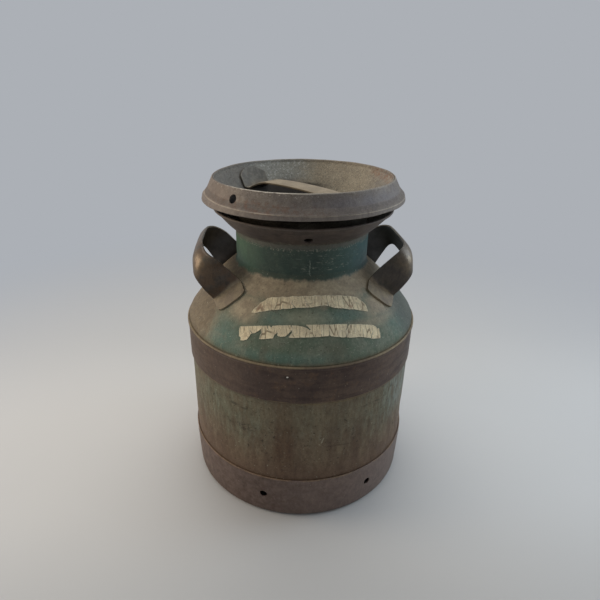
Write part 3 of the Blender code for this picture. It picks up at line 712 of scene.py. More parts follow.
def hoop_steel():
    mat = Finish("hoop_steel")
    brushed = mat.noise(7.0, detail=6, rough=0.66, stretch=(0.22, 0.22, 1))
    cloud = mat.noise(34.0, detail=6)
    grain = mat.noise(1.5, rough=0.7)
    blot = mat.noise(11.0, detail=5, rough=0.65, shift=1.1)
    mat.colour = mat.mix(cloud.ramp(0.36, 0.64), (76, 60, 52), (94, 76, 63))
    mat.coat(brushed.ramp(0.44, 0.64) * 0.6, (62, 46, 41))
    mat.coat(blot.ramp(0.52, 0.68) * 0.45, (106, 80, 58))
    # paler and warmer at the left: painted warm light
    mat.coat(mat.fold.ramp(-22.0, -52.0) * 0.4, (100, 81, 64))
    # the foot hoop is greyer and paler than the upper one, most of all at the right
    below = mat.z.ramp(FOOT_TOP + 20.0, FOOT_TOP + 5.0)
    mat.coat(below * 0.72, mat.mix(blot.ramp(0.40, 0.62), (122, 104, 96), (100, 84, 76)))
    mat.coat(below * mat.fold.ramp(8.0, 44.0) * 0.6, (121, 108, 102))
    mat.coat(mat.fold.ramp(38.0, 70.0) * 0.3, (92, 84, 76))
    # the upper hoop's flanks are paler: painted light from the sides
    flanks = below.flip() * abs(mat.fold).band(26.0, 46.0, soft=12.0)
    mat.coat(flanks * 0.38, (104, 88, 78))
    mat.coat(below * mat.fold.band(-8.0, 60.0, soft=14.0) * 0.40, (136, 119, 110))
    # the upper hoop's bead, dusty and with a painted highlight, both hoops' edges, and the foot darker
    # along its lowest few mm
    wander = (mat.noise(9.0, shift=2.2) - 0.5) * 2.4

    def edge(low, high):
        return (mat.z + wander * 0.3).band(low, high, soft=0.5)

    bead = edge(BAND_Z1 - 1.6, BAND_Z1 + 1.0)
    mat.coat(bead * (0.40 + cloud.ramp(0.36, 0.56) * 0.4), (134, 120, 92))
    lower = edge(BAND_Z0 - 1.0, BAND_Z0 + 1.1)
    mat.coat(lower * (brushed.ramp(0.40, 0.56) * 0.6), (146, 126, 92))
    foot = edge(FOOT_TOP - 1.3, FOOT_TOP + 1.0)
    mat.coat(foot * (cloud.ramp(0.40, 0.56) * 0.7), (142, 118, 92))
    mat.coat((mat.z + wander).ramp(5.0, 1.0) * 0.6, (58, 48, 42))
    # pale spots, and one white chip in a dark ring
    spots = mat.noise(2.6, detail=2, rough=0.5, shift=3.3).ramp(0.70, 0.76)
    mat.coat(spots * 0.5, (168, 158, 138))
    chip = mat.blob((-10.0, 231.2), (0.42, 0.95), soft=0.4, wobble=0.8, size=3.0)
    ring = mat.blob((-9.6, 230.0), (2.6, 3.2), soft=0.6, wobble=1.4, size=4.0)
    mat.coat(ring * 0.7, (46, 34, 30))
    mat.coat(chip, (235, 228, 214))
    mat.mottle(1.05)
    mat.shade(0.62 + grain * 0.75)
    return mat.close(relief=brushed * 0.16 + grain * 0.10 + blot * 0.16 + chip * -0.2,
                     rough=0.46 + brushed * 0.26, metallic=0.15, specular=0.4)


def neck_green(mat):
    """Dark green, paler to the left and bluer to the right: painted warm light at the left and painted
    cool light at the right.
    """
    cloud = mat.noise(22.0, detail=6, rough=0.62)
    paint = mat.mix(cloud.ramp(0.36, 0.64), (42, 60, 50), (55, 70, 58))
    left = (mat.fold + (cloud - 0.5) * 30.0).ramp(-30.0, -66.0)
    paint = mat.mix(left * 0.85, paint, (74, 104, 80))
    right = (mat.fold + (cloud - 0.5) * 30.0).ramp(24.0, 60.0)
    paint = mat.mix(mat.fold.band(18.0, 44.0, soft=12.0) * 0.4, paint, (46, 84, 76))
    return mat.mix(right * 0.85, paint, (47, 82, 82))


def breast_paint():
    mat = Finish("breast_paint")
    cloud = mat.noise(30.0, detail=6, rough=0.62)
    speck = mat.noise(1.9, rough=0.68)
    blot = mat.noise(8.0, detail=5, rough=0.68, shift=1.9)
    fall = mat.noise(7.0, detail=5, rough=0.62, stretch=(1, 1, 0.3))
    mat.colour = mat.mix(cloud.ramp(0.36, 0.66), (86, 100, 82), (108, 114, 96))
    mat.coat(blot.ramp(0.50, 0.68) * 0.5, (74, 92, 70))
    # blue-green patches, and a pale one at the middle of the front
    teal = mat.most(
        mat.blob((-20.0, 290.0), (14.0, 6.0), soft=0.7, wobble=1.2),
        mat.blob((16.0, 291.0), (15.0, 6.0), soft=0.7, wobble=1.2) * 0.9,
        mat.blob((54.0, 266.0), (8.0, 13.0), soft=0.8, wobble=1.2) * 0.8,
        mat.blob((-44.0, 262.0), (8.0, 14.0), soft=0.8, wobble=1.2),
        mat.blob((-15.0, 254.0), (26.0, 5.0), soft=0.8, wobble=1.4) * 0.7)
    mat.coat(teal * 0.55, (84, 116, 106))
    middle = mat.blob((-2.0, 291.0), (13.0, 7.0), soft=0.7, wobble=1.0)
    mat.coat(middle * 0.75, (150, 150, 126))
    mat.coat(fall.ramp(0.52, 0.70) * 0.45, (124, 128, 108))
    rusty = mat.most(mat.blob((11.5, 258.0), (5.0, 12.0), soft=0.8, wobble=1.4, size=10.0),
                     mat.blob((-21.0, 255.0), (1.8, 10.0), soft=0.8, wobble=1.2, size=8.0))
    mat.coat(rusty * 0.36, (98, 84, 66))
    # dust: the shoulder's upper part, round the tabs, the left side and the back
    top = (mat.z + (cloud - 0.5) * 34.0).ramp(296.0, 310.0)
    left = (mat.fold + (cloud - 0.5) * 40.0).ramp(-46.0, -62.0)
    tab = mat.most(mat.blob((-38.0, 294.0), (11.0, 12.0), soft=0.7, wobble=0.8, size=18.0),
                   mat.blob((47.0, 292.0), (12.0, 12.0), soft=0.7, wobble=0.8, size=18.0))
    side = mat.blob((36.0, 278.0), (22.0, 5.0), soft=0.9, wobble=1.2) * 0.55
    dirty = mat.most(mat.most(top, left), mat.most(tab, side))
    rear = abs(mat.turn).ramp(92.0, 130.0) * mat.noise(45.0, detail=5, shift=4.0).ramp(0.42, 0.6)
    dirty = mat.most(dirty, rear * 0.8)
    dust_cloud = mat.noise(16.0, detail=5, rough=0.62, shift=0.9)
    dust = mat.mix(dust_cloud.ramp(0.38, 0.64), (150, 134, 110), (172, 156, 128))
    left_dust = mat.mix(blot.ramp(0.40, 0.60), (102, 86, 64), (120, 103, 78))
    dust = mat.mix(left * 0.9, dust, left_dust)
    # the far right is darker, under the dust and over it
    far = mat.turn.ramp(46.0, 64.0) * mat.turn.ramp(130.0, 105.0)
    mat.coat(far * 0.75, (76, 82, 74))
    mat.coat(dirty * 0.92, dust)
    mat.coat(far * 0.45, (74, 78, 70))
    # the neck's green runs down onto the top of the shoulder
    edge = mat.z + (mat.noise(13.0, detail=5, rough=0.66, shift=1.3) - 0.5) * 12.0
    mat.coat(edge.ramp(322.5, 327.5) * 0.94, neck_green(mat))
    # brown just above the hoop, then light and dark flecks
    low = (mat.z + (blot - 0.5) * 8.0).ramp(BAND_Z1 + 5.0, BAND_Z1 - 0.5)
    mat.coat(low * 0.55, (112, 96, 72))
    light = mat.noise(2.2, detail=2, rough=0.5, shift=3.3).ramp(0.67, 0.73)
    mat.coat(light * 0.5, (176, 176, 156))
    dark = mat.noise(2.8, detail=2, rough=0.5, shift=5.3).ramp(0.66, 0.72)
    mat.coat(dark * 0.5, (58, 50, 38))
    mat.mottle(0.95)
    mat.shade(0.65 + speck * 0.70)
    tin_inside(mat)
    return mat.close(relief=speck * 0.10 + blot * 0.16 + cloud * 0.3,
                     rough=0.50 + mat.noise(10.0) * 0.26, metallic=0.0, specular=0.4)


def neck_paint():
    mat = Finish("neck_paint")
    speck = mat.noise(1.7, rough=0.68)
    blot = mat.noise(6.0, detail=5, rough=0.68, shift=1.3)
    mat.colour = neck_green(mat)
    mat.coat(blot.ramp(0.54, 0.72) * 0.34, (84, 92, 74))
    # scratches running mostly sideways, thickest at the front right
    lines = mat.noise(3.0, rough=0.72, stretch=(0.36, 0.36, 1.2), wander=0.5)
    small = mat.noise(2.2, detail=3, shift=8.3)
    where = mat.most(mat.blob((17.0, 340.0), (21.0, 3.6), soft=0.9, wobble=0.9),
                     mat.blob((24.0, 350.0), (18.0, 9.0), soft=0.9, wobble=0.8),
                     mat.blob((0.0, 357.0), (26.0, 4.0), soft=0.9, wobble=0.8) * 0.7,
                     mat.blob((1.5, 336.0), (2.4, 22.0), soft=0.6, wobble=0.9) * 0.9)
    scratch = mat.most(lines.ramp(0.575, 0.64) * (0.05 + where * 0.62),
                       small.ramp(0.66, 0.71) * (0.12 + where * 0.6))
    mat.coat(scratch, (146, 150, 132))
    # one broken upright scratch at the front
    upright = (mat.turn + (small - 0.5) * 2.5).band(1.2, 2.0, soft=0.5)
    upright = upright * mat.z.band(326.0, 352.0, soft=6.0)
    upright = upright * mat.noise(2.6, rough=0.7, shift=7.7).ramp(0.44, 0.56)
    mat.coat(upright * 0.7, (140, 148, 132))
    dusty = (mat.z + (blot - 0.5) * 9.0).ramp(331.5, 326.0)
    mat.coat(dusty * 0.35, (66, 72, 58))
    # paint flaked off along the top
    top = mat.z + (mat.noise(7.0, detail=5, rough=0.7, shift=2.9) - 0.5) * 12.0
    mat.coat(top.ramp(362.5, 367.0) * 0.85, (88, 84, 72))
    flakes = (top.band(362.0, 365.0, soft=0.9)
              * mat.noise(2.4, detail=3, shift=6.1).ramp(0.52, 0.62))
    mat.coat(flakes * 0.6, (142, 138, 120))
    mat.mottle(1.05)
    mat.shade(0.65 + speck * 0.70)
    tin_inside(mat)
    return mat.close(relief=speck * 0.08 + scratch * -0.12 + blot * 0.14,
                     rough=0.40 + mat.noise(9.0) * 0.30, metallic=0.0, specular=0.45)


def bowl_steel():
    mat = Finish("bowl_steel")
    level = mat.noise(6.0, detail=5, rough=0.66, stretch=(0.3, 0.3, 1.4))
    cloud = mat.noise(24.0, detail=6, rough=0.62)
    grain = mat.noise(1.6, rough=0.7)
    mat.colour = mat.mix(cloud.ramp(0.36, 0.66), (74, 64, 58), (90, 77, 67))
    mat.coat(level.ramp(0.46, 0.66) * 0.5, (62, 52, 46))
    # remains of paint and pale flakes near the neck
    chips = mat.z + (mat.noise(6.5, detail=5, rough=0.7, shift=2.9) - 0.5) * 13.0
    mat.coat(chips.ramp(375.0, 371.0) * 0.55, (92, 90, 76))
    flakes = chips.ramp(374.0, 371.5) * mat.noise(3.0, detail=3, shift=6.1).ramp(0.46, 0.58)
    mat.coat(flakes * 0.45, (132, 126, 108))
    # the lip is paler, and the left side is paler with painted warm light
    lip = mat.z.ramp(BOWL_TOP - 3.5, BOWL_TOP - 1.5)
    mat.coat(lip * (level.ramp(0.40, 0.60) * 0.4), (100, 88, 76))
    mat.coat(mat.fold.ramp(-40.0, -75.0) * 0.35, (104, 88, 74))
    mat.mottle(0.90)
    mat.shade(0.65 + grain * 0.70)
    tin_inside(mat)
    return mat.close(relief=grain * 0.10 + level * 0.14 + flakes * -0.1,
                     rough=0.48 + level * 0.24, metallic=0.15, specular=0.4)


def lid_tin():
    mat = Finish("lid_tin")
    cloud = mat.noise(28.0, detail=6, rough=0.62)
    mottle = mat.noise(6.0, detail=5, rough=0.68, shift=0.5)
    grain = mat.noise(1.8, rough=0.72)
    fine = mat.noise(0.9, detail=3, rough=0.7, shift=5.5)
    mat.colour = mat.mix(cloud.ramp(0.36, 0.66), (108, 100, 93), (124, 115, 104))
    mat.coat(mottle.ramp(0.46, 0.66) * 0.55, (94, 83, 74))
    # pitted all over: pale and dark grains
    mat.coat(grain.ramp(0.52, 0.68) * 0.40, (150, 142, 132))
    mat.coat(mat.noise(2.1, rough=0.7, shift=7.7).ramp(0.54, 0.68) * 0.45, (70, 60, 54))
    # tan at the left, which is painted warm light, greyer at the right, violet at the front right, rust
    # at the front left
    left = (mat.fold + (cloud - 0.5) * 24.0).ramp(-34.0, -66.0)
    mat.coat(left * 0.50, (122, 105, 90))
    mat.coat(mat.fold.ramp(52.0, 74.0) * 0.40, (92, 86, 80))
    violet = mat.blob((34.0, 427.0), (30.0, 7.0), soft=0.9, wobble=1.0)
    mat.coat(violet * 0.42, (104, 102, 110))
    rusty = mat.blob((-28.0, 421.0), (26.0, 5.0), soft=0.9, wobble=1.5, size=7.0)
    mat.coat(rusty * mottle.ramp(0.44, 0.60) * 0.55, (126, 88, 66))
    # painted shade in the hollow above the lip, a painted highlight along the lip's crest, and the lip
    # below it paler
    hollow = mat.z.band(CREST_Z + 1.0, WAIST_Z + 0.5, soft=1.0)
    mat.coat(hollow * 0.42, (78, 69, 62))
    crest = mat.z.band(CREST_Z - 0.9, CREST_Z + 0.2, soft=0.35)
    mat.coat(crest * (0.35 + cloud.ramp(0.38, 0.58) * 0.5), (160, 148, 132))
    mat.coat(mat.z.ramp(CREST_Z - 0.6, CREST_Z - 2.4) * 0.55, (126, 116, 108))
    # the rim is chipped pale and carries a painted highlight, most of all at the front left
    edge = mat.z + (mat.noise(4.0, rough=0.7, shift=1.7) - 0.5) * 3.4
    rim = edge.ramp(RIM_Z - 1.5, RIM_Z - 0.7)
    front = 0.16 + mat.blob((-42.0, RIM_Z), (40.0, 40.0), soft=0.6) * 0.74
    mat.coat(rim * front, (196, 188, 172))
    drips = (edge.band(RIM_Z - 5.5, RIM_Z - 2.0, soft=1.0)
             * mat.noise(2.6, detail=3, shift=6.6).ramp(0.60, 0.67))
    mat.coat(drips * front, (182, 174, 160))
    mat.mottle(0.80)
    mat.shade(0.58 + fine * 0.84)
    # painted shade: the inner face is made near-black
    mat.coat(mat.value_of("inner") * 0.94, (26, 22, 19))
    return mat.close(relief=grain * 0.22 + fine * 0.10 + mottle * 0.30 + cloud * 0.3,
                     rough=0.46 + mottle * 0.28, metallic=0.25, specular=0.4)


def dish_tin():
    mat = Finish("dish_tin")
    cloud = mat.noise(24.0, detail=6, rough=0.62, shift=0.2)
    mottle = mat.noise(5.0, detail=5, rough=0.7, shift=0.5)
    grain = mat.noise(1.5, detail=5, rough=0.75)
    pits = mat.noise(1.7, detail=3, shift=0.31).ramp(0.55, 0.68)
    mat.colour = mat.mix(cloud.ramp(0.36, 0.64), (124, 118, 109), (148, 140, 126))
    mat.coat(mottle.ramp(0.48, 0.66) * 0.55, (104, 92, 82))
    # a pale scaly stretch at the back, a tan one at the back right, grey at the left
    # and rust by the rim at the right
    scale = (mat.near_turn(-165.0, half=24.0)
             * (mat.z + (mottle - 0.5) * 10.0).ramp(408.0, 416.0))
    mat.coat(scale * 0.55, (148, 152, 146))
    flakes = mat.noise(3.4, rough=0.72, shift=2.5).ramp(0.52, 0.64)
    mat.coat(flakes * (0.16 + scale * 0.62), (186, 188, 182))
    tan = mat.near_turn(142.0, half=30.0)
    mat.coat(tan * 0.35, (158, 146, 118))
    light = mat.noise(2.0, rough=0.7, shift=4.5).ramp(0.52, 0.66)
    mat.coat(light * (0.20 + tan * 0.5), (186, 176, 152))
    mat.coat(mat.near_turn(-108.0, half=34.0) * 0.6, (86, 87, 85))
    rust = mat.near_turn(96.0, half=18.0) * (mat.z.ramp(424.0, 432.0) * mottle.ramp(0.40, 0.56))
    mat.coat(rust * 0.6, (136, 98, 74))
    mat.coat(pits * 0.62, (70, 62, 56))
    rim = (mat.z + (mottle - 0.5) * 4.0).ramp(RIM_Z - 5.0, RIM_Z - 1.5)
    mat.coat(rim * 0.30, (96, 86, 76))
    # painted shade deep in the dish, and a painted shadow under the strap at the back
    depth = mat.z + (cloud - 0.5) * 3.0
    mat.coat(depth.ramp(398.0, 386.0) * 0.85, (34, 29, 25))
    strap_shadow = mat.near_turn(-168.0, half=30.0) * depth.ramp(409.0, 404.5)
    mat.coat(strap_shadow * 0.92, (34, 29, 26))
    mat.shade(0.45 + grain * 1.10)
    # the underside is old tin in a darker copy, darkened further near the top as painted shade in the
    # space under the cover
    tin = mat.mix(mat.z.ramp(396.0, 404.0), old_tin(mat, gain=0.8)[0], (30, 26, 23))
    mat.coat(mat.value_of("inner"), tin)
    return mat.close(relief=pits * -0.22 + grain * 0.20 + mottle * 0.25,
                     rough=0.50 + mottle * 0.28, metallic=0.2, specular=0.4)


def lid_strap():
    mat = Finish("lid_strap")
    cloud = mat.noise(18.0, detail=6, rough=0.62)
    grain = mat.noise(1.7, rough=0.72)
    along, across = mat.value_of("along"), mat.value_of("across")
    # grey end tabs, dusty span, paler edges, rust
    dust = mat.mix(cloud.ramp(0.38, 0.64), (124, 112, 92), (146, 132, 110))
    tab = mat.mix(mat.noise(7.0, detail=5, rough=0.66).ramp(0.42, 0.62),
                  (98, 96, 91), (116, 114, 106))
    mat.colour = mat.mix((along + (cloud - 0.5) * 12.0).ramp(18.0, 40.0), tab, dust)
    edge = mat.most(across.ramp(0.06, 0.0), across.ramp(0.94, 1.0))
    mat.coat(edge * 0.3, (140, 130, 112))
    mat.coat(mat.noise(4.0, rough=0.66, shift=3.1).ramp(0.58, 0.72) * 0.45, (110, 86, 66))
    mat.shade(0.65 + grain * 0.70)
    return mat.close(relief=grain * 0.16 + mat.noise(6.0) * 0.2, rough=0.52 + cloud * 0.22,
                     metallic=0.15, specular=0.35)


def strap_under():
    mat = Finish("lid_strap_under")
    cloud = mat.noise(12.0, detail=6, rough=0.62)
    # painted shade: the strap's underside is made dark
    mat.colour = mat.mix(cloud.ramp(0.38, 0.64), (44, 38, 34), (62, 54, 47))
    return mat.close(relief=mat.noise(1.7, rough=0.7) * 0.14, rough=0.60 + cloud * 0.2,
                     metallic=0.1, specular=0.3)


def handle_steel():
    mat = Finish("handle_steel")
    cloud = mat.noise(20.0, detail=6, rough=0.62)
    grain = mat.noise(1.5, rough=0.7)
    run = mat.noise(5.0, detail=5, rough=0.66, stretch=(1, 1, 0.35))
    along, across = mat.value_of("along"), mat.value_of("across")
    mat.colour = mat.mix(cloud.ramp(0.36, 0.64), (63, 56, 50), (81, 72, 63))
    mat.coat(run.ramp(0.48, 0.66) * 0.5, (42, 37, 33))
    mat.coat(mat.noise(26.0, detail=5, shift=1.4).ramp(0.48, 0.66) * 0.35, (52, 60, 48))
    # worn bright and with a painted highlight on the outside of the bend, paler along the grip
    wear_and_highlight = along.band(62.0, 86.0, soft=14.0) * across.band(0.22, 0.66, soft=0.26)
    wear_and_highlight = wear_and_highlight * (0.35 + mat.noise(8.0, detail=5, rough=0.66).ramp(0.40, 0.62) * 0.65)
    mat.coat(wear_and_highlight * 0.85, (150, 130, 98))
    mat.coat(along.ramp(50.0, 76.0) * 0.40, (106, 94, 80))
    # the left handle is browner with painted warm light
    warm = mat.axes[0].ramp(0.0, -0.06) * mat.noise(18.0, shift=3.7).ramp(0.36, 0.60)
    mat.coat(warm * 0.45, (106, 78, 50))
    edge = mat.most(across.ramp(0.030, 0.0), across.ramp(0.965, 1.0))
    mat.coat(edge * 0.75, (134, 126, 110))
    # dusty end tabs
    tab = (along + (cloud - 0.5) * 10.0).ramp(27.0, 20.0)
    mat.coat(tab * 0.95, mat.mix(mat.noise(14.0, detail=5, rough=0.62).ramp(0.4, 0.62),
                                 (126, 112, 92), (144, 130, 104)))
    mat.mottle(0.80)
    mat.shade(0.59 + grain * 0.81)
    return mat.close(relief=grain * 0.08 + run * 0.12,
                     rough=(0.42 + tab * 0.24) - wear_and_highlight * 0.10 + (cloud - 0.5) * 0.2,
                     metallic=tab.flip() * 0.35, specular=0.5)


def handle_inside():
    mat = Finish("handle_steel_inside")
    cloud = mat.noise(16.0, detail=6, rough=0.62)
    grain = mat.noise(1.5, rough=0.7)
    across = mat.value_of("across")
    mat.colour = mat.mix(cloud.ramp(0.36, 0.64), (66, 63, 62), (82, 79, 77))
    # painted light: the inner face of the bend and grip is made much paler
    mat.coat(mat.value_of("along").ramp(66.0, 92.0) * 0.7, (134, 134, 138))
    edge = mat.most(across.ramp(0.04, 0.0), across.ramp(0.95, 1.0))
    mat.coat(edge * 0.4, (120, 112, 98))
    mat.shade(0.68 + grain * 0.64)
    return mat.close(relief=grain * 0.08 + mat.noise(6.0) * 0.14, rough=0.42 + cloud * 0.24,
                     metallic=0.2, specular=0.5)


def aged_paper():
    mat = Finish("aged_paper")
    along, across = mat.value_of("along"), mat.value_of("across")

    def flat(layer=0.0, across_scale=0.001):
        """The sheet laid flat, in metres; a small across_scale draws patterns out upwards."""
        return mat.signal("ShaderNodeCombineXYZ",
                          {0: along * 0.001, 1: across * across_scale, 2: layer})

    sheet, tall = flat(), flat(across_scale=0.00022)
    cloud = mat.noise(16.0, detail=5, rough=0.62, at=sheet)
    fibre = mat.noise(1.3, rough=0.7, at=sheet)
    mat.colour = mat.mix(cloud.ramp(0.36, 0.66), (242, 226, 188), (216, 201, 168))
    ribs = mat.noise(2.6, detail=3, at=tall)
    mat.coat(ribs.ramp(0.48, 0.68) * 0.28, (182, 168, 140))
    # long cracks in some stretches, small ones in the others
    cracks = mat.cell_edges(7.0, tall).ramp(0.060, 0.016)
    kept = mat.noise(22.0, detail=3, at=sheet).ramp(0.40, 0.54)
    mat.coat(cracks * (kept * 0.72), (102, 86, 68))
    small = mat.cell_edges(2.6, sheet).ramp(0.070, 0.020)
    mat.coat(small * (kept.flip() * 0.35), (112, 98, 80))
    # dirt and grime, and painted shade and painted highlights on the folds, heavier where the sheet is
    # marked dirty
    dirty = mat.value_of("dirt")
    dirt = mat.noise(10.0, detail=6, rough=0.7, at=flat(0.4)).ramp(0.50, 0.70)
    mat.coat(dirt * (0.10 + dirty * 0.60), (154, 112, 92))
    grime = mat.noise(6.0, detail=6, rough=0.72, at=flat(0.9)).ramp(0.50, 0.66)
    mat.coat(grime * (0.08 + dirty * 0.42), (140, 130, 110))
    folds = mat.noise(5.5, detail=3, at=flat(0.7, across_scale=0.0006))
    mat.coat(folds.ramp(0.54, 0.66) * (0.10 + dirty * 0.42), (138, 112, 92))
    mat.coat(folds.ramp(0.46, 0.34) * (0.15 + dirty * 0.25), (238, 224, 188))
    border = mat.value_of("inset").ramp(0.9, 0.1)
    mat.coat(border * 0.35, (232, 224, 200))
    mat.shade(0.71 + fibre * 0.58)
    return mat.close(relief=fibre * 0.05 + ribs * 0.16 + folds * 0.30 + cracks * -0.14,
                     rough=0.72 + fibre * 0.2, metallic=0.0, specular=0.25)


def pan_tin():
    mat = Finish("pan_tin")
    mat.colour, pits = old_tin(mat)
    stain = mat.noise(60.0, detail=5, shift=1.0)
    mat.coat(stain.ramp(0.46, 0.62) * 0.5, (96, 72, 54))
    return mat.close(relief=pits * -0.15 + mat.noise(4.0) * 0.2, rough=0.42 + stain * 0.3,
                     metallic=0.4, specular=0.4)


def floor_finish():
    """Pale matt floor that runs out into the backdrop's tone, so no edge shows."""
    mat = Finish("floor_pale")
    cloud = mat.noise(420.0, detail=3, rough=0.5)
    mat.colour = mat.mix(cloud, (0.57, 0.57, 0.56, 1.0), (0.61, 0.605, 0.59, 1.0))
    # painted shade: darker towards the front and the back
    y = mat.axes[1]
    mat.shade(1.0 - (y.ramp(-0.12, -0.36) * 0.24 + y.ramp(0.02, 0.40) * 0.16))
    mat.close(relief=mat.noise(3.0, detail=3) * 0.05, rough=0.62, metallic=0.0, specular=0.3)
    glow = mat.signal("ShaderNodeEmission", {"Color": BACKDROP, "Strength": 1.0})
    blend = mat.signal("ShaderNodeMixShader",
                       {0: mat.radius.ramp(260.0, 1250.0), 1: mat.surface, 2: glow})
    mat.put(mat.output.inputs[0], blend)
    return mat.mat


# ---- the can ---------------------------------------------------------------------------------
def place(obj, body, node):
    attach(obj, body)
    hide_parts(node)


def make_body():
    outline = rounded([(BODY_R, BODY_Z0, 0.5), (BODY_R, BODY_Z1, 0.0),
                       (BODY_R - SHEET, BODY_Z1, 0.0), (BODY_R - SHEET, BODY_Z0, 0.5)])
    obj = turned("body_shell_skin", dense(outline, 3.0), body_paint(), can_warp,
                 inner=lambda r, z: r < BODY_R - PAINT_DEPTH)
    place(obj, "can", "body_shell")


def make_pan():
    """Domed bottom with a turned-down skirt."""
    rise, corner, skirt, steps = 7.0, 5.0, 10.0, 29
    edge, pan_z = BODY_R - SHEET - 0.35, PAN_TOP - rise
    top = [((edge - corner) * k / steps, pan_z + rise * (1 - (k / steps) ** 2))
           for k in range(steps)]
    centre, quarter = (edge - corner, pan_z - corner), np.linspace(90, 0, 9)
    hem = [(edge, pan_z - skirt + 0.4), (edge - 0.5, pan_z - skirt),
           (edge - SHEET + 0.5, pan_z - skirt), (edge - SHEET, pan_z - skirt + 0.4)]
    outline = (top + arc(centre, corner, quarter) + hem
               + arc(centre, corner - SHEET, quarter)[::-1]
               + [(r, z - SHEET) for r, z in top[::-1]])
    obj = turned("bottom_pan_skin", outline, pan_tin(), can_warp, capped=True, segments=144)
    place(obj, "can", "bottom_pan")


FOOT_HOLE_Z = 35.0
FOOT_HOLE_TURNS = [32.5 + 61.1 * k for k in range(5)] + [32.5 - 54.3]


def make_foot(steel):
    """Hoop whose lower edge is curled in and rolled back on itself."""
    wall, flat, curl = 1.6, 4.5, 5.45
    curl_r = FOOT_R - curl
    outline = [(FOOT_R, FOOT_TOP - 0.7), (FOOT_R, 40.0)]
    outline += arc((curl_r, curl), curl, np.linspace(0, -90, 12))
    outline += [(curl_r - flat, 0.0), (curl_r - flat - 0.9, 0.9), (curl_r - flat - 0.2, 1.9),
                (curl_r, wall)]
    outline += arc((curl_r, curl), curl - wall, np.linspace(-75, 0, 10))
    outline += [(FOOT_R - wall, FOOT_TOP - 0.5), (FOOT_R - wall + 0.5, FOOT_TOP),
                (FOOT_R - 0.7, FOOT_TOP), (FOOT_R - 0.2, FOOT_TOP - 0.2)]
    obj = turned("foot_ring_skin", dense(outline, 3.5), steel, can_warp,
                 inner=lambda r, z: r < FOOT_R - wall * 0.7)
    diameter, reach, flare = 10.5, 6.0, 0.5
    punch(obj, [(polar(FOOT_R, turn, FOOT_HOLE_Z), polar(1.0, turn, 0.0), diameter, reach, flare)
                for turn in FOOT_HOLE_TURNS])
    place(obj, "can", "foot_ring")


def make_band(steel):
    """Hoop at the top of the shell, beaded along its upper edge."""
    inner, outer, bead = BODY_R + 0.35, BAND_R, 1.05
    outline = rounded([(inner, BAND_Z0, 0.2), (outer, BAND_Z0, 0.6), (outer, BAND_Z1 - 5.2, 1.5),
                       (outer + bead, BAND_Z1 - 3.6, 1.2), (outer + bead, BAND_Z1 - 1.1, 1.1),
                       (outer - 0.3, BAND_Z1, 0.8), (inner, BAND_Z1, 0.2)], 5)
    obj = turned("breast_band_skin", dense(outline, 3.0), steel, can_warp)
    place(obj, "can", "breast_band")


def make_breast():
    points, normals = breast_line(10, 44, 14)
    outer = [(BODY_R, BREAST_Z0)] + points + [(NECK_R, BREAST_TOP)]
    back = sheet_back(outer, [(-1.0, 0.0)] + normals + [(-1.0, 0.0)])
    obj = turned("breast_skin", dense(outer + back[::-1], 3.0), breast_paint(), can_warp,
                 inner=lambda r, z: clearance(outer, r, z) > SHEET * 0.5)
    place(obj, "can", "breast")


def make_neck():
    """Tube with a narrower spigot that goes down inside the shoulder."""
    low, top = BREAST_TOP + 0.02, NECK_TOP + 0.32
    spigot = NECK_R - SHEET - 0.35
    outline = [(NECK_R, low), (NECK_R, top), (NECK_R - SHEET, top), (NECK_R - SHEET, low + 2.5),
               (spigot - SHEET, low + 0.5), (spigot - SHEET, NECK_LOW + 0.5),
               (spigot - SHEET + 0.5, NECK_LOW), (spigot - 0.3, NECK_LOW),
               (spigot, NECK_LOW + 0.3), (spigot, low)]
    obj = turned("neck_tube_skin", dense(outline, 2.5), neck_paint(), can_warp,
                 inner=lambda r, z: r < NECK_R - PAINT_DEPTH)
    place(obj, "can", "neck_tube")


def make_bowl():
    """Soft turn out of the neck, then the flare, then the rolled lip."""
    angle, sweep = 45.0, 14.0
    start_r, foot = 91.6, NECK_TOP + 0.35
    run = BOWL_R - start_r
    radius = run / math.cos(math.radians(angle)) / (2 * math.sin(math.radians(sweep / 2)))
    start = (start_r, BOWL_TOP - run * math.tan(math.radians(angle)))
    line, normals = walk(start, angle - sweep / 2, [(radius, sweep, 24)])
    turn = [bend((NECK_R, foot), (NECK_R + 0.15, foot + 0.75), start, k / 7.0) for k in range(7)]
    inner = [(NECK_R - SHEET, foot), (NECK_R - SHEET + 0.3, foot + 0.6)]
    inner += sheet_back(line, normals)[1:-1]
    last, normal = np.array(line[-1]), np.array(normals[-1])
    centre = last - np.array((normal[1], -normal[0])) * 1.5 + normal * 0.2
    lip_start = math.degrees(math.atan2(-normal[1], -normal[0]) - 0.5)
    lip = arc(centre, 1.55, lip_start + np.linspace(0, 252, 17))
    path = [(NECK_R, foot)] + line

    def inside(r, z):
        return (clearance(path, r, z) > SHEET * 0.6) & (z < BOWL_TOP - 2.2)

    obj = turned("mouth_bowl_skin", dense(turn + line[:-1] + lip + inner[::-1], 2.5),
                 bowl_steel(), can_warp, inner=inside)
    # one hole in the front
    hole_z, diameter, reach, flare = 380.5, 11.0, 7.0, 0.4
    hole_r = min(line, key=lambda p: abs(p[1] - hole_z))[0]
    punch(obj, [(polar(hole_r, -0.83, hole_z), (-0.013, -1, -1), diameter, reach, flare)])
    place(obj, "can", "mouth_bowl")


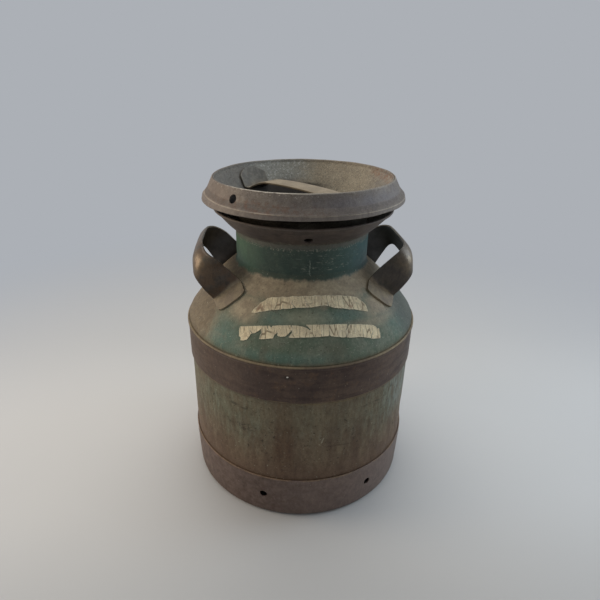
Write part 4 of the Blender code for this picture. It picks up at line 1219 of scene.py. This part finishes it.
# ---- handles ---------------------------------------------------------------------------------
# x, y, z of the upper edge, x, y, z of the lower edge, and crown, of the right strap
# from its front tab to mid grip
STATIONS = (
    (78.3, -80.0, 309.0, 110.0, -78.5, 280.5, 0.0),
    (83.4, -64.0, 315.5, 117.0, -58.5, 286.0, 0.0),
    (96.0, -61.5, 329.0, 128.5, -60.5, 301.5, 1.0),
    (109.0, -61.0, 341.5, 137.0, -60.5, 315.0, 3.0),
    (122.5, -54.5, 350.5, 141.0, -54.5, 322.0, 4.0),
    (131.0, -40.0, 354.5, 142.5, -41.0, 326.0, 5.0),
    (133.0, -20.0, 355.0, 142.5, -20.0, 327.0, 5.0),
    (133.0, 0.0, 355.0, 142.5, 0.0, 327.0, 5.0),
)
STATION_STEPS, HANDLE_ACROSS = 9, 26
HANDLE_LIFT = 0.55     # the strap's least height over the shoulder
TAB_BULGE = 4.5        # how far the tab's rounded end reaches out


def spline(rows, steps):
    """Catmull-Rom through rows of numbers."""
    first = [2 * a - b for a, b in zip(rows[0], rows[1])]
    last = [2 * a - b for a, b in zip(rows[-1], rows[-2])]
    rows = [first] + list(rows) + [last]
    out = []
    for i in range(1, len(rows) - 2):
        for k in range(steps):
            t = k / steps
            out.append([0.5 * (2 * b + (c - a) * t + (2 * a - 5 * b + 4 * c - d) * t * t
                               + (3 * b - a - 3 * c + d) * t ** 3)
                        for a, b, c, d in zip(rows[i - 1], rows[i], rows[i + 1], rows[i + 2])])
    out.append(list(rows[-2]))
    return out


def handle_grid():
    """Rows of points over the right strap, the distance of each from the nearer end,
    and the share across from the lower edge."""
    mirror = [(x, -y, z, low_x, -low_y, low_z, crown)
              for x, y, z, low_x, low_y, low_z, crown in STATIONS[-2::-1]]
    rows = spline(list(STATIONS) + mirror, STATION_STEPS)
    upper = [Vector(row[0:3]) for row in rows]
    lower = [Vector(row[3:6]) for row in rows]
    middle = [(a + b) / 2 for a, b in zip(upper, lower)]
    count = len(rows)
    travelled = [0.0]
    for a, b in zip(middle[:-1], middle[1:]):
        travelled.append(travelled[-1] + (b - a).length)
    out, along = [], []
    for i in range(count):
        tangent = (middle[min(i + 1, count - 1)] - middle[max(i - 1, 0)]).normalized()
        chord = (upper[i] - lower[i]) / 2
        outward = chord.normalized().cross(tangent).normalized()
        crown = max(rows[i][6], 0.0)
        from_end = min(i, count - 1 - i)
        away = -tangent if i < count / 2 else tangent
        row = []
        for j in range(HANDLE_ACROSS + 1):
            t = math.sin(-math.pi / 2 + math.pi * j / HANDLE_ACROSS)
            point = middle[i] + chord * t - outward * crown * (1 - t * t)
            in_tab = from_end <= STATION_STEPS
            if in_tab:
                share = 1.0 - from_end / STATION_STEPS
                point += away * TAB_BULGE * (1 - t ** 4) * share ** 2
            moved, gap = seat(point, HANDLE_LIFT)
            row.append(moved if in_tab or gap < HANDLE_LIFT else point)
        out.append(row)
        along.append([min(travelled[i], travelled[-1] - travelled[i])] * (HANDLE_ACROSS + 1))
    across = [[j / HANDLE_ACROSS for j in range(HANDLE_ACROSS + 1)]] * count
    return out, np.array(along), np.array(across)


def make_handles():
    rows, along, across = handle_grid()
    finishes = [handle_steel(), handle_inside()]
    right = strap("handle_right_skin", rows, HANDLE_SHEET, 0.75, finishes, along, across, can_warp)
    place(right, "can", "handle_right")
    # the left one is the mirror image, with its upper edge bent down at the front
    sag_depth, sag_way, sag_width = 6.0, 74.0, 21.0
    mirrored = []
    for row, row_along, row_across in zip(rows, along, across):
        bent = []
        for p, way, part in zip(row, row_along, row_across):
            sag = 0.0
            if p.y < 0:
                sag = sag_depth * math.exp(-((way - sag_way) / sag_width) ** 2) * part ** 1.4
            bent.append(Vector((-p.x, p.y, p.z - sag)))
        mirrored.append(bent[::-1])
    left = strap("handle_left_skin", mirrored, HANDLE_SHEET, 0.75, finishes,
                 along, across[:, ::-1], can_warp)
    place(left, "can", "handle_left")


# ---- paper strips ------------------------------------------------------------------------------
# azimuths from +X of a strip's ends, how much shorter its lower edge is, and for the lower
# and the upper edge: height, fall per square degree and middle azimuth
STRIP_UPPER = (-124.6, -53.0, 0.05, (301.2, 0.0090, -90.0), (311.6, 0.0063, -90.0))
STRIP_LOWER = (-126.7, -52.0, 0.07, (274.3, 0.0090, -91.5), (286.1, 0.0081, -91.5))

# outlines of the torn strips: (share along, share up), going round
TORN_UPPER = (
    (0, 0.04), (0.03, -0.03), (0.08, 0.01), (0.15, 0.02), (0.205, -0.01), (0.26, 0.02), (0.33, 0),
    (0.345, 0.06), (0.355, 0.01), (0.385, 0.03), (0.44, 0), (0.5, 0.02), (0.54, 0.06),
    (0.575, 0.15), (0.62, 0.2), (0.655, 0.16), (0.69, 0.04), (0.74, 0), (0.78, 0.03),
    (0.83, -0.01), (0.88, 0.03), (0.93, 0), (1, -0.02), (1.003, 0.3), (0.998, 0.5),
    (0.985, 0.62), (0.972, 0.7), (0.95, 0.86), (0.93, 0.94), (0.9, 0.97), (0.86, 1.02),
    (0.82, 1), (0.78, 1.05), (0.72, 1), (0.65, 1.04), (0.59, 1), (0.545, 1.02), (0.5, 0.95),
    (0.45, 1), (0.4, 0.96), (0.34, 1.01), (0.29, 0.95), (0.25, 1), (0.21, 0.96), (0.16, 1),
    (0.115, 0.96), (0.1, 0.84), (0.075, 0.74), (0.058, 0.66), (0.04, 0.46), (0.02, 0.34),
    (0.008, 0.18),
)
TORN_LOWER = (
    (0, 0.3), (0.012, 0.22), (0.01, 0.02), (0.03, -0.04), (0.055, 0.02), (0.075, 0.28),
    (0.082, 0.42), (0.115, 0.48), (0.14, 0.62), (0.152, 0.74), (0.156, 0.5), (0.148, 0.3),
    (0.14, 0.02), (0.175, -0.02), (0.235, 0.04), (0.243, 0.24), (0.258, 0.4), (0.27, 0.46),
    (0.264, 0.22), (0.29, 0.1), (0.318, 0.14), (0.338, 0.28), (0.352, 0.46), (0.362, 0.62),
    (0.366, 0.4), (0.348, 0.18), (0.338, 0.02), (0.38, 0), (0.48, 0.02), (0.56, 0.06),
    (0.612, 0.12), (0.622, 0.22), (0.634, 0.1), (0.7, 0.04), (0.78, 0.02), (0.85, 0.08),
    (0.91, 0.04), (0.926, -0.02), (0.965, 0), (1, 0.04), (1, 0.4), (0.996, 0.76), (0.984, 0.7),
    (0.972, 0.86), (0.955, 0.98), (0.9, 1), (0.84, 1.02), (0.775, 1.03), (0.76, 0.88),
    (0.752, 1.04), (0.7, 1.04), (0.64, 1), (0.56, 0.99), (0.462, 0.98), (0.476, 0.82),
    (0.494, 0.62), (0.486, 0.58), (0.468, 0.72), (0.44, 0.84), (0.4, 0.92), (0.364, 0.96),
    (0.3, 0.97), (0.232, 0.96), (0.222, 0.8), (0.216, 0.96), (0.16, 0.98), (0.08, 0.98),
    (0.004, 0.96), (0, 0.7),
)
# cracks cut in from an edge: three (share along, share up) points, and width in mm at the mouth
CUTS_UPPER = (
    ((0.655, 0.14), (0.652, 0.34), (0.66, 0.52), 0.9), ((0.365, 0.02), (0.345, 0.26), (0.325, 0.52), 0.8),
    ((0.462, 0), (0.458, 0.4), (0.452, 0.74), 0.5), ((0.25, 0), (0.252, 0.2), (0.249, 0.34), 0.4),
)
CUTS_LOWER = (
    ((0.092, 0.46), (0.08, 0.62), (0.07, 0.78), 0.8), ((0.195, 0.98), (0.2, 0.82), (0.206, 0.66), 1.0),
    ((0.737, 0.05), (0.746, 0.26), (0.742, 0.46), 0.9), ((0.757, 1), (0.752, 0.74), (0.738, 0.54), 1.1),
    ((0.926, 0), (0.938, 0.3), (0.948, 0.52), 1.0), ((0.812, 1), (0.808, 0.7), (0.806, 0.42), 0.7),
    ((0.622, 0.1), (0.626, 0.4), (0.622, 0.62), 0.8), ((0.566, 0.04), (0.568, 0.34), (0.566, 0.6), 0.6),
    ((0.87, 0.06), (0.868, 0.4), (0.872, 0.66), 0.6), ((0.36, 0.96), (0.366, 0.8), (0.364, 0.66), 0.9),
    ((0.69, 0.05), (0.688, 0.3), (0.692, 0.5), 0.5),
)
PAPER_CELL, PAPER_THICKNESS = 0.55, 0.28


def upper_dirt(u, v):
    return (0.35 + 0.9 * math.exp(-((u - 0.08) / 0.07) ** 2 - ((v - 0.25) / 0.4) ** 2)
            + 0.8 * math.exp(-((u - 0.48) / 0.05) ** 2) + 0.7 * math.exp(-((u - 0.82) / 0.10) ** 2))


def lower_dirt(u, v):
    return 0.12 + 0.5 * max(0.0, (u - 0.86) / 0.14)


def strip_size(extent):
    start, end, _, (low_z, _, _), (high_z, _, _) = extent
    low_r, high_r = shoulder_radius(low_z), shoulder_radius(high_z)
    return (math.radians(end - start) * (0.5 * (low_r + high_r)),
            math.hypot(high_z - low_z, low_r - high_r))


def paper_grid(torn, cuts, size, seed):
    """Flat grid round a strip: x, y, lift off the shoulder, and depth inside the torn edge."""
    columns, rows = int(size[0] * 1.04 / PAPER_CELL), int(size[1] * 1.24 / PAPER_CELL)
    x, y = np.meshgrid(np.linspace(-0.02, 1.02, columns + 1) * size[0],
                       np.linspace(-0.12, 1.12, rows + 1) * size[1], indexing="ij")
    outline = np.array(torn + torn[:1]) * size
    inside = np.zeros(x.shape, bool)
    for (ax, ay), (bx, by) in zip(outline[:-1], outline[1:]):
        crosses = (ay > y) != (by > y)
        inside ^= crosses & (x < ax + (y - ay) * (bx - ax) / ((by - ay) or 1e-9))
    near = clearance(outline, x, y)
    depth = np.where(inside, near, -near)
    # ragged edge
    rng = np.random.RandomState(seed)
    rag = np.zeros(x.shape)
    for _ in range(14):
        rate_x, rate_y = rng.uniform(0.4, 2.6), rng.uniform(0.4, 2.6)
        rag += (np.sin(x * rate_x + rng.uniform(0, 6))
                * np.sin(y * rate_y + rng.uniform(0, 6)) / 14)
    depth = depth + rag * 0.9
    # cracks narrow from the mouth to the tip
    for *line, width in cuts:
        line = np.array(line) * size
        length = np.hypot(*np.diff(line, axis=0).T).sum()
        done = 0.0
        for a, b in zip(line[:-1], line[1:]):
            piece = math.hypot(*(b - a))
            share, gap = to_segment(x, y, a, b)
            left = 1.0 - (done + share * piece) / length
            depth = np.minimum(depth, gap - width * 0.5 * (0.35 + 0.65 * left))
            done += piece
    # the paper stands off a little at its torn edges and between cracks
    curl = (np.clip(1.0 - depth / 2.6, 0, 1) ** 2
            * (0.35 + 0.45 * (np.sin(x * 0.21 + seed) * np.sin(x * 0.047 + 2 * seed))))
    wave = 0.10 + 0.08 * np.sin(x * 1.3 + seed) * np.sin(y * 0.5 + seed)
    lift = 0.10 + np.clip(curl, 0, 1.0) * 0.9 + np.clip(wave, 0, 1)
    return np.stack((x, y, lift, depth), axis=-1)


def trimmed(grid):
    """Points and faces of the part of the grid whose depth is above 0."""
    points, index, faces = [], {}, []

    def at(spot):
        if spot not in index:
            index[spot] = len(points)
            points.append(grid[spot])
        return index[spot]

    def between(*ends):
        a, b = key = tuple(sorted(ends))
        if key not in index:
            depth_a, depth_b = grid[a][3], grid[b][3]
            share = min(0.97, max(0.03, depth_a / (depth_a - depth_b)))
            index[key] = len(points)
            point = grid[a] + (grid[b] - grid[a]) * share
            point[3] = 0.0
            points.append(point)
        return index[key]

    for i in range(grid.shape[0] - 1):
        for j in range(grid.shape[1] - 1):
            ring = ((i, j), (i + 1, j), (i + 1, j + 1), (i, j + 1))
            keep = [grid[spot][3] > 0 for spot in ring]
            if not any(keep):
                continue
            if not all(keep) and keep[0] == keep[2] and keep[1] == keep[3]:
                # two opposite corners: keep them as separate triangles
                for k in range(4):
                    if keep[k]:
                        faces.append((at(ring[k]), between(ring[k], ring[(k + 1) % 4]),
                                      between(ring[k], ring[k - 1])))
                continue
            face = []
            for k in range(4):
                if keep[k]:
                    face.append(at(ring[k]))
                if keep[k] != keep[(k + 1) % 4]:
                    face.append(between(ring[k], ring[(k + 1) % 4]))
            faces.append(tuple(face))
    return points, faces


def largest_part(faces, count):
    """The faces of the largest connected part, without loose flakes."""
    parent = list(range(count))

    def root(a):
        while parent[a] != a:
            parent[a] = parent[parent[a]]
            a = parent[a]
        return a

    for face in faces:
        first = root(face[0])
        for other in face[1:]:
            parent[root(other)] = first
    size = {}
    for face in faces:
        key = root(face[0])
        size[key] = size.get(key, 0) + 1
    biggest = max(size, key=size.get)
    return [face for face in faces if root(face[0]) == biggest]


def on_shoulder(x, y, lift, extent, size):
    """A point of the flat strip laid on the shoulder."""
    start, end, narrow, *edges = extent
    up = y / size[1]
    azimuth = start + (end - start) * x / size[0]
    low, high = [top - fall * (azimuth - centre) ** 2 for top, fall, centre in edges]
    z = low + (high - low) * up
    middle = (start + end) / 2
    angle = math.radians(middle + (azimuth - middle) * (1 - narrow * (1 - up)))
    r = shoulder_radius(z)
    return tuple(seat((r * math.cos(angle), r * math.sin(angle), z), lift)[0])


def paper_piece(node, extent, torn, cuts, dirt, seed, material):
    """Torn strip laid on the shoulder: a fine grid trimmed to its outline."""
    size = strip_size(extent)
    points, faces = trimmed(paper_grid(torn, cuts, size, seed))
    faces = largest_part(faces, len(points))
    laid = np.array([on_shoulder(x, y, lift, extent, size) for x, y, lift, _ in points])
    along, across, _, inset = np.array(points).T
    name = node + "_skin"
    mesh = bpy.data.meshes.new(name)
    mesh.from_pydata((can_warp(laid) / MM).tolist(), [], faces)
    mark(mesh, along=along, across=across, inset=inset,
         dirt=[dirt(x / size[0], y / size[1]) for x, y in zip(along, across)])
    obj = finish_mesh(name, mesh, [material], sharp=60.0)
    bm = bmesh.new()
    bm.from_mesh(mesh)
    bmesh.ops.delete(bm, geom=[v for v in bm.verts if not v.link_faces], context="VERTS")
    bm.to_mesh(mesh)
    bm.free()
    solid = obj.modifiers.new("thickness", "SOLIDIFY")
    solid.thickness = PAPER_THICKNESS / MM
    solid.offset = 1.0
    applied(obj)
    smooth(obj.data, sharp=50.0)
    place(obj, "can", node)


def make_papers():
    paper = aged_paper()
    paper_piece("paper_strip_upper", STRIP_UPPER, TORN_UPPER, CUTS_UPPER, upper_dirt,
                seed=5, material=paper)
    paper_piece("paper_strip_lower", STRIP_LOWER, TORN_LOWER, CUTS_LOWER, lower_dirt,
                seed=11, material=paper)


# ---- the lid -------------------------------------------------------------------------------------
def make_cover():
    """Rim, sloping skirt, hollow waist, crest and turned-down lip. Rows: r, z, radius."""
    outer = [(RIM_R - 0.75, RIM_Z, 0.0), (RIM_R - 0.1, RIM_Z - 0.55, 0.6),
             (RIM_R + 0.55, RIM_Z - 2.0, 2.0), (WAIST_R - 0.4, WAIST_Z + 0.6, 3.0),
             (CREST_R - 1.2, CREST_Z + 1.4, 2.2), (CREST_R - 0.1, CREST_Z + 0.3, 1.2),
             (LIP_R, LIP_Z + 0.5, 0.5), (LIP_R - 0.5, LIP_Z, 0.4)]
    inner = [(LIP_R - SHEET + 0.3, LIP_Z, 0.4), (CREST_R - SHEET, CREST_Z - 0.5, 1.5),
             (WAIST_R - 1.4, WAIST_Z - 1.4, 2.0), (RIM_R - SHEET - 0.2, RIM_Z - 3.0, 1.5),
             (RIM_R - SHEET - 0.15, RIM_Z - 0.5, 0.3), (RIM_R - 1.3, RIM_Z - 0.02, 0.2)]
    line = [row[:2] for row in outer]

    def inside(r, z):
        return (clearance(line, r, z) > SHEET * 0.6) & (z < RIM_Z - 4.0)

    obj = turned("lid_cover_skin", dense(rounded(outer + inner, 5), 1.6), lid_tin(), lid_warp,
                 inner=inside)
    # one hole at the front left, square to the skirt
    turn, hole_z, diameter, reach, flare = -44.8, 426.5, 11.0, 6.0, 0.4
    hole_r = WAIST_R + (RIM_R - WAIST_R) * (hole_z - WAIST_Z) / (RIM_Z - WAIST_Z)
    out = polar(RIM_Z - WAIST_Z, turn, WAIST_R - RIM_R)
    punch(obj, [(polar(hole_r, turn, hole_z), out, diameter, reach, flare)])
    place(obj, "lid", "lid_cover")


# ends of the straight wall on the dish's upper face
DISH_WALL_TOP = (DISH_RIM_R - 1.6 * SHEET, RIM_Z - 4.0)
DISH_WALL_LOW = (DISH_NECK_R + 0.1, DISH_NECK_Z + 3.4)


def dish_wall(z):
    """Radius of the dish's upper face at height z."""
    (top_r, top_z), (low_r, low_z) = DISH_WALL_TOP, DISH_WALL_LOW
    return top_r + (low_r - top_r) * (top_z - z) / (top_z - low_z)


def make_dish():
    """Dish with a flat-bottomed plug below it. Rows: r, z, radius."""
    corner = 9.0
    under = [(DISH_RIM_R, RIM_Z - 0.5, 0.4), (DISH_RIM_R - 0.3, RIM_Z - 4.0, 1.5),
             (DISH_NECK_R + 1.6, DISH_NECK_Z + 2.4, 2.0), (DISH_NECK_R, DISH_NECK_Z, 1.5),
             (PLUG_R, PLUG_Z, corner), (0.0, PLUG_Z, 0.0)]
    top = [(0.0, PLUG_Z + SHEET, 0.0), (PLUG_R - SHEET, PLUG_Z + SHEET, corner - SHEET),
           (DISH_NECK_R - SHEET, DISH_NECK_Z + 0.8, 2.5), DISH_WALL_LOW + (2.5,),
           DISH_WALL_TOP + (3.0,), (DISH_RIM_R - SHEET, RIM_Z - 1.0, 0.8),
           (DISH_RIM_R - 0.8, RIM_Z - 0.1, 0.6)]
    outline = rounded(under + top, 7)
    # start at the axis above, go round by the rim and end at the axis below
    last = outline.index((0.0, PLUG_Z))
    outline = dense(outline[last + 1:] + outline[:last + 1], 2.2, closed=False)
    line = [row[:2] for row in under]

    def beneath(r, z):
        return (clearance(line, r, z) < SHEET * 0.5) & (z < RIM_Z - 3.0)

    obj = turned("lid_dish_skin", outline, dish_tin(), lid_warp, inner=beneath, capped=True)
    place(obj, "lid", "lid_dish")


STRAP_AZIMUTH = 130.0                   # from +X: front right to back left
STRAP_WIDTH, STRAP_TAB_WIDTH = 33.0, 46.0
STRAP_TAB_TOP, STRAP_TAB_LOW = 431.8, 408.6
STRAP_SPAN_Z, STRAP_CROWN = 418.4, 2.0
STRAP_ACROSS = 20


def lid_strap_half():
    """Half of the strap's line from one tab to the middle. Rows: distance from the axis,
    height, how far it has left the round wall (0 to 1), half width."""
    slope = math.atan2(dish_wall(STRAP_TAB_TOP) - dish_wall(STRAP_TAB_LOW),
                       STRAP_TAB_TOP - STRAP_TAB_LOW)
    lift = 0.55 / math.cos(slope)
    half_width, rise_angle, bend_ease, bend_steps = STRAP_WIDTH / 2, 28.0, 5.0 / 9.0, 14
    rows = []
    # tab, down the dish's wall
    for i in range(21):
        z = STRAP_TAB_TOP + (STRAP_TAB_LOW - STRAP_TAB_TOP) * (i / 20) ** 1.4
        wide = STRAP_TAB_WIDTH / 2 * math.sqrt(min(1.0, (STRAP_TAB_TOP - z + 0.8) / 9.0))
        rows.append((dish_wall(z) - lift, z, 0.0, wide))
    # bend away from the wall
    heading = math.degrees(math.pi / 2 - slope)
    line, _ = walk(rows[-1][:2], -180.0 + heading, [(5.0, -(heading + rise_angle), bend_steps)])
    for k, (r, z) in enumerate(line[1:], 1):
        extra = (STRAP_TAB_WIDTH - STRAP_WIDTH) / 2 * (1 - k / bend_steps) ** 1.2
        rows.append((r, z, bend_ease * k / bend_steps, half_width + extra))
    # rise to the span
    r, z = line[-1]
    rise = STRAP_SPAN_Z - z
    reach = rise / math.tan(math.radians(rise_angle)) * 1.6
    for i in range(1, 15):
        t = i / 14
        rows.append((r - reach * t, z + rise * (1 - (1 - t) ** 1.6),
                     bend_ease + (1 - bend_ease) * t, half_width))
    # crowned span
    r = rows[-1][0]
    for i in range(1, 13):
        t = i / 12
        rows.append((r * (1 - t), STRAP_SPAN_Z + STRAP_CROWN * (1 - (1 - t) ** 2), 1.0, half_width))
    return rows


def make_lid_handle():
    half = lid_strap_half()
    line = half + [(-r, z, ease, wide) for r, z, ease, wide in half[-2::-1]]
    travelled = [0.0]
    for a, b in zip(line[:-1], line[1:]):
        travelled.append(travelled[-1] + math.hypot(b[0] - a[0], b[1] - a[1]))
    angle = math.radians(STRAP_AZIMUTH)
    along = Vector((math.cos(angle), math.sin(angle), 0.0))
    side = Vector((-math.sin(angle), math.cos(angle), 0.0))
    rows, far, across = [], [], []
    for (s, z, ease, wide), gone in zip(line, travelled):
        row = []
        for j in range(STRAP_ACROSS + 1):
            share = 2 * j / STRAP_ACROSS - 1
            off = wide * share
            off *= 1.0 - (0.20 * ease if off > 0 else 0.0)      # one edge is drawn in
            on_wall = math.sqrt(max(s * s - off * off, 0.0)) if abs(s) > abs(off) else abs(s)
            out = math.copysign(on_wall * (1 - ease) + abs(s) * ease, s)
            drop = 1.1 * share ** 4 * ease      # edges of the span roll down slightly
            row.append(along * out + side * off + Vector((0, 0, z - drop)))
        rows.append(row[::-1])
        far.append([min(gone, travelled[-1] - gone)] * (STRAP_ACROSS + 1))
        across.append([1 - j / STRAP_ACROSS for j in range(STRAP_ACROSS + 1)])
    obj = strap("lid_handle_skin", rows, HANDLE_SHEET, 0.7, [lid_strap(), strap_under()],
                far, across, lid_warp)
    place(obj, "lid", "lid_handle")


def make_can():
    steel = hoop_steel()
    make_body()
    make_pan()
    make_foot(steel)
    make_band(steel)
    make_breast()
    make_neck()
    make_bowl()
    make_handles()
    make_papers()


def make_lid():
    make_cover()
    make_dish()
    make_lid_handle()


# ---- stage, in metres ------------------------------------------------------------------------------
FLOOR_RADII, FLOOR_SIDES, FLOOR_Z = (0.4, 1.0, 2.0, 4.0, 9.0), 64, -0.0004

# name, place, aim, disk size, power, colour
LIGHTS = (
    ("top_soft", (0.0, 0.45, 1.65), (0.0, 0.0, 0.25), 1.4, 11.0, (1.0, 0.985, 0.96)),
    ("left_warm", (-1.40, 0.10, 0.75), (0.0, 0.0, 0.22), 0.8, 9.0, (1.0, 0.84, 0.66)),
    ("right_cool", (1.45, 0.15, 0.80), (0.0, 0.0, 0.22), 0.9, 8.0, (0.74, 0.87, 1.0)),
)


def make_floor():
    bm = bmesh.new()
    centre = bm.verts.new((0, 0, FLOOR_Z))
    angles = [2 * math.pi * k / FLOOR_SIDES for k in range(FLOOR_SIDES)]
    rings = [[bm.verts.new((r * math.cos(a), r * math.sin(a), FLOOR_Z)) for a in angles]
             for r in FLOOR_RADII]
    for k in range(FLOOR_SIDES):
        n = (k + 1) % FLOOR_SIDES
        bm.faces.new((centre, rings[0][k], rings[0][n]))
        for low, high in zip(rings[:-1], rings[1:]):
            bm.faces.new((low[k], high[k], high[n], low[n]))
    mesh = bpy.data.meshes.new("floor")
    bm.to_mesh(mesh)
    bm.free()
    mesh.materials.append(floor_finish())
    linked("floor", mesh)


def make_world():
    """Soft light that is weak from the front and strong from behind and above."""
    world = bpy.data.worlds.new("studio")
    bpy.context.scene.world = world
    world.use_nodes = True
    graph = Graph(world.node_tree)
    _, y, z = graph.split(graph.signal("ShaderNodeTexCoord", output="Generated"))
    lean = graph.signal("ShaderNodeMath", {0: z, 1: 0.55, 2: y}, operation="MULTIPLY_ADD")
    strength = graph.signal("ShaderNodeMapRange", {
        "Value": lean, "From Min": -0.9, "From Max": 1.0, "To Min": 0.16, "To Max": 0.62})
    light = graph.signal("ShaderNodeBackground",
                         {"Color": (0.86, 0.89, 0.93, 1.0), "Strength": strength})
    seen = graph.signal("ShaderNodeBackground", {"Color": BACKDROP})
    camera_ray = graph.signal("ShaderNodeLightPath", output="Is Camera Ray")
    blend = graph.signal("ShaderNodeMixShader", {0: camera_ray, 1: light, 2: seen})
    graph.node("ShaderNodeOutputWorld", {0: blend})


def make_lights():
    for name, spot, aim, size, power, colour in LIGHTS:
        data = bpy.data.lights.new(name, "AREA")
        data.shape = "DISK"
        data.size = size
        data.energy = power
        data.color = colour
        obj = linked(name, data)
        obj.location = spot
        obj.rotation_mode = "QUATERNION"
        obj.rotation_quaternion = (Vector(aim) - Vector(spot)).to_track_quat("-Z", "Y")


def make_camera():
    """Looks down at the can from the front, a little from the left."""
    data = bpy.data.cameras.new("camera")
    data.sensor_width = 36.0
    data.lens = 28.5
    data.shift_x = -0.0013333333
    data.clip_start = 0.01
    obj = linked("camera", data)
    pitch, heading, roll = math.radians(25.28), math.radians(5.0), math.radians(1.06)
    ahead = Vector((math.sin(heading) * math.cos(pitch), math.cos(heading) * math.cos(pitch),
                    -math.sin(pitch)))
    right = ahead.cross(Vector((0, 0, 1))).normalized()
    up = right.cross(ahead)
    pose = Matrix((right, up, -ahead)).transposed().to_4x4() @ Matrix.Rotation(roll, 4, "Z")
    pose.translation = Vector((-0.0548, -0.6263, 0.5532))
    obj.matrix_world = pose
    bpy.context.scene.camera = obj


def main():
    make_can()
    make_lid()
    make_floor()
    make_world()
    make_lights()
    bpy.context.scene.view_settings.view_transform = "Standard"
    make_camera()
    bpy.context.view_layer.update()


main()
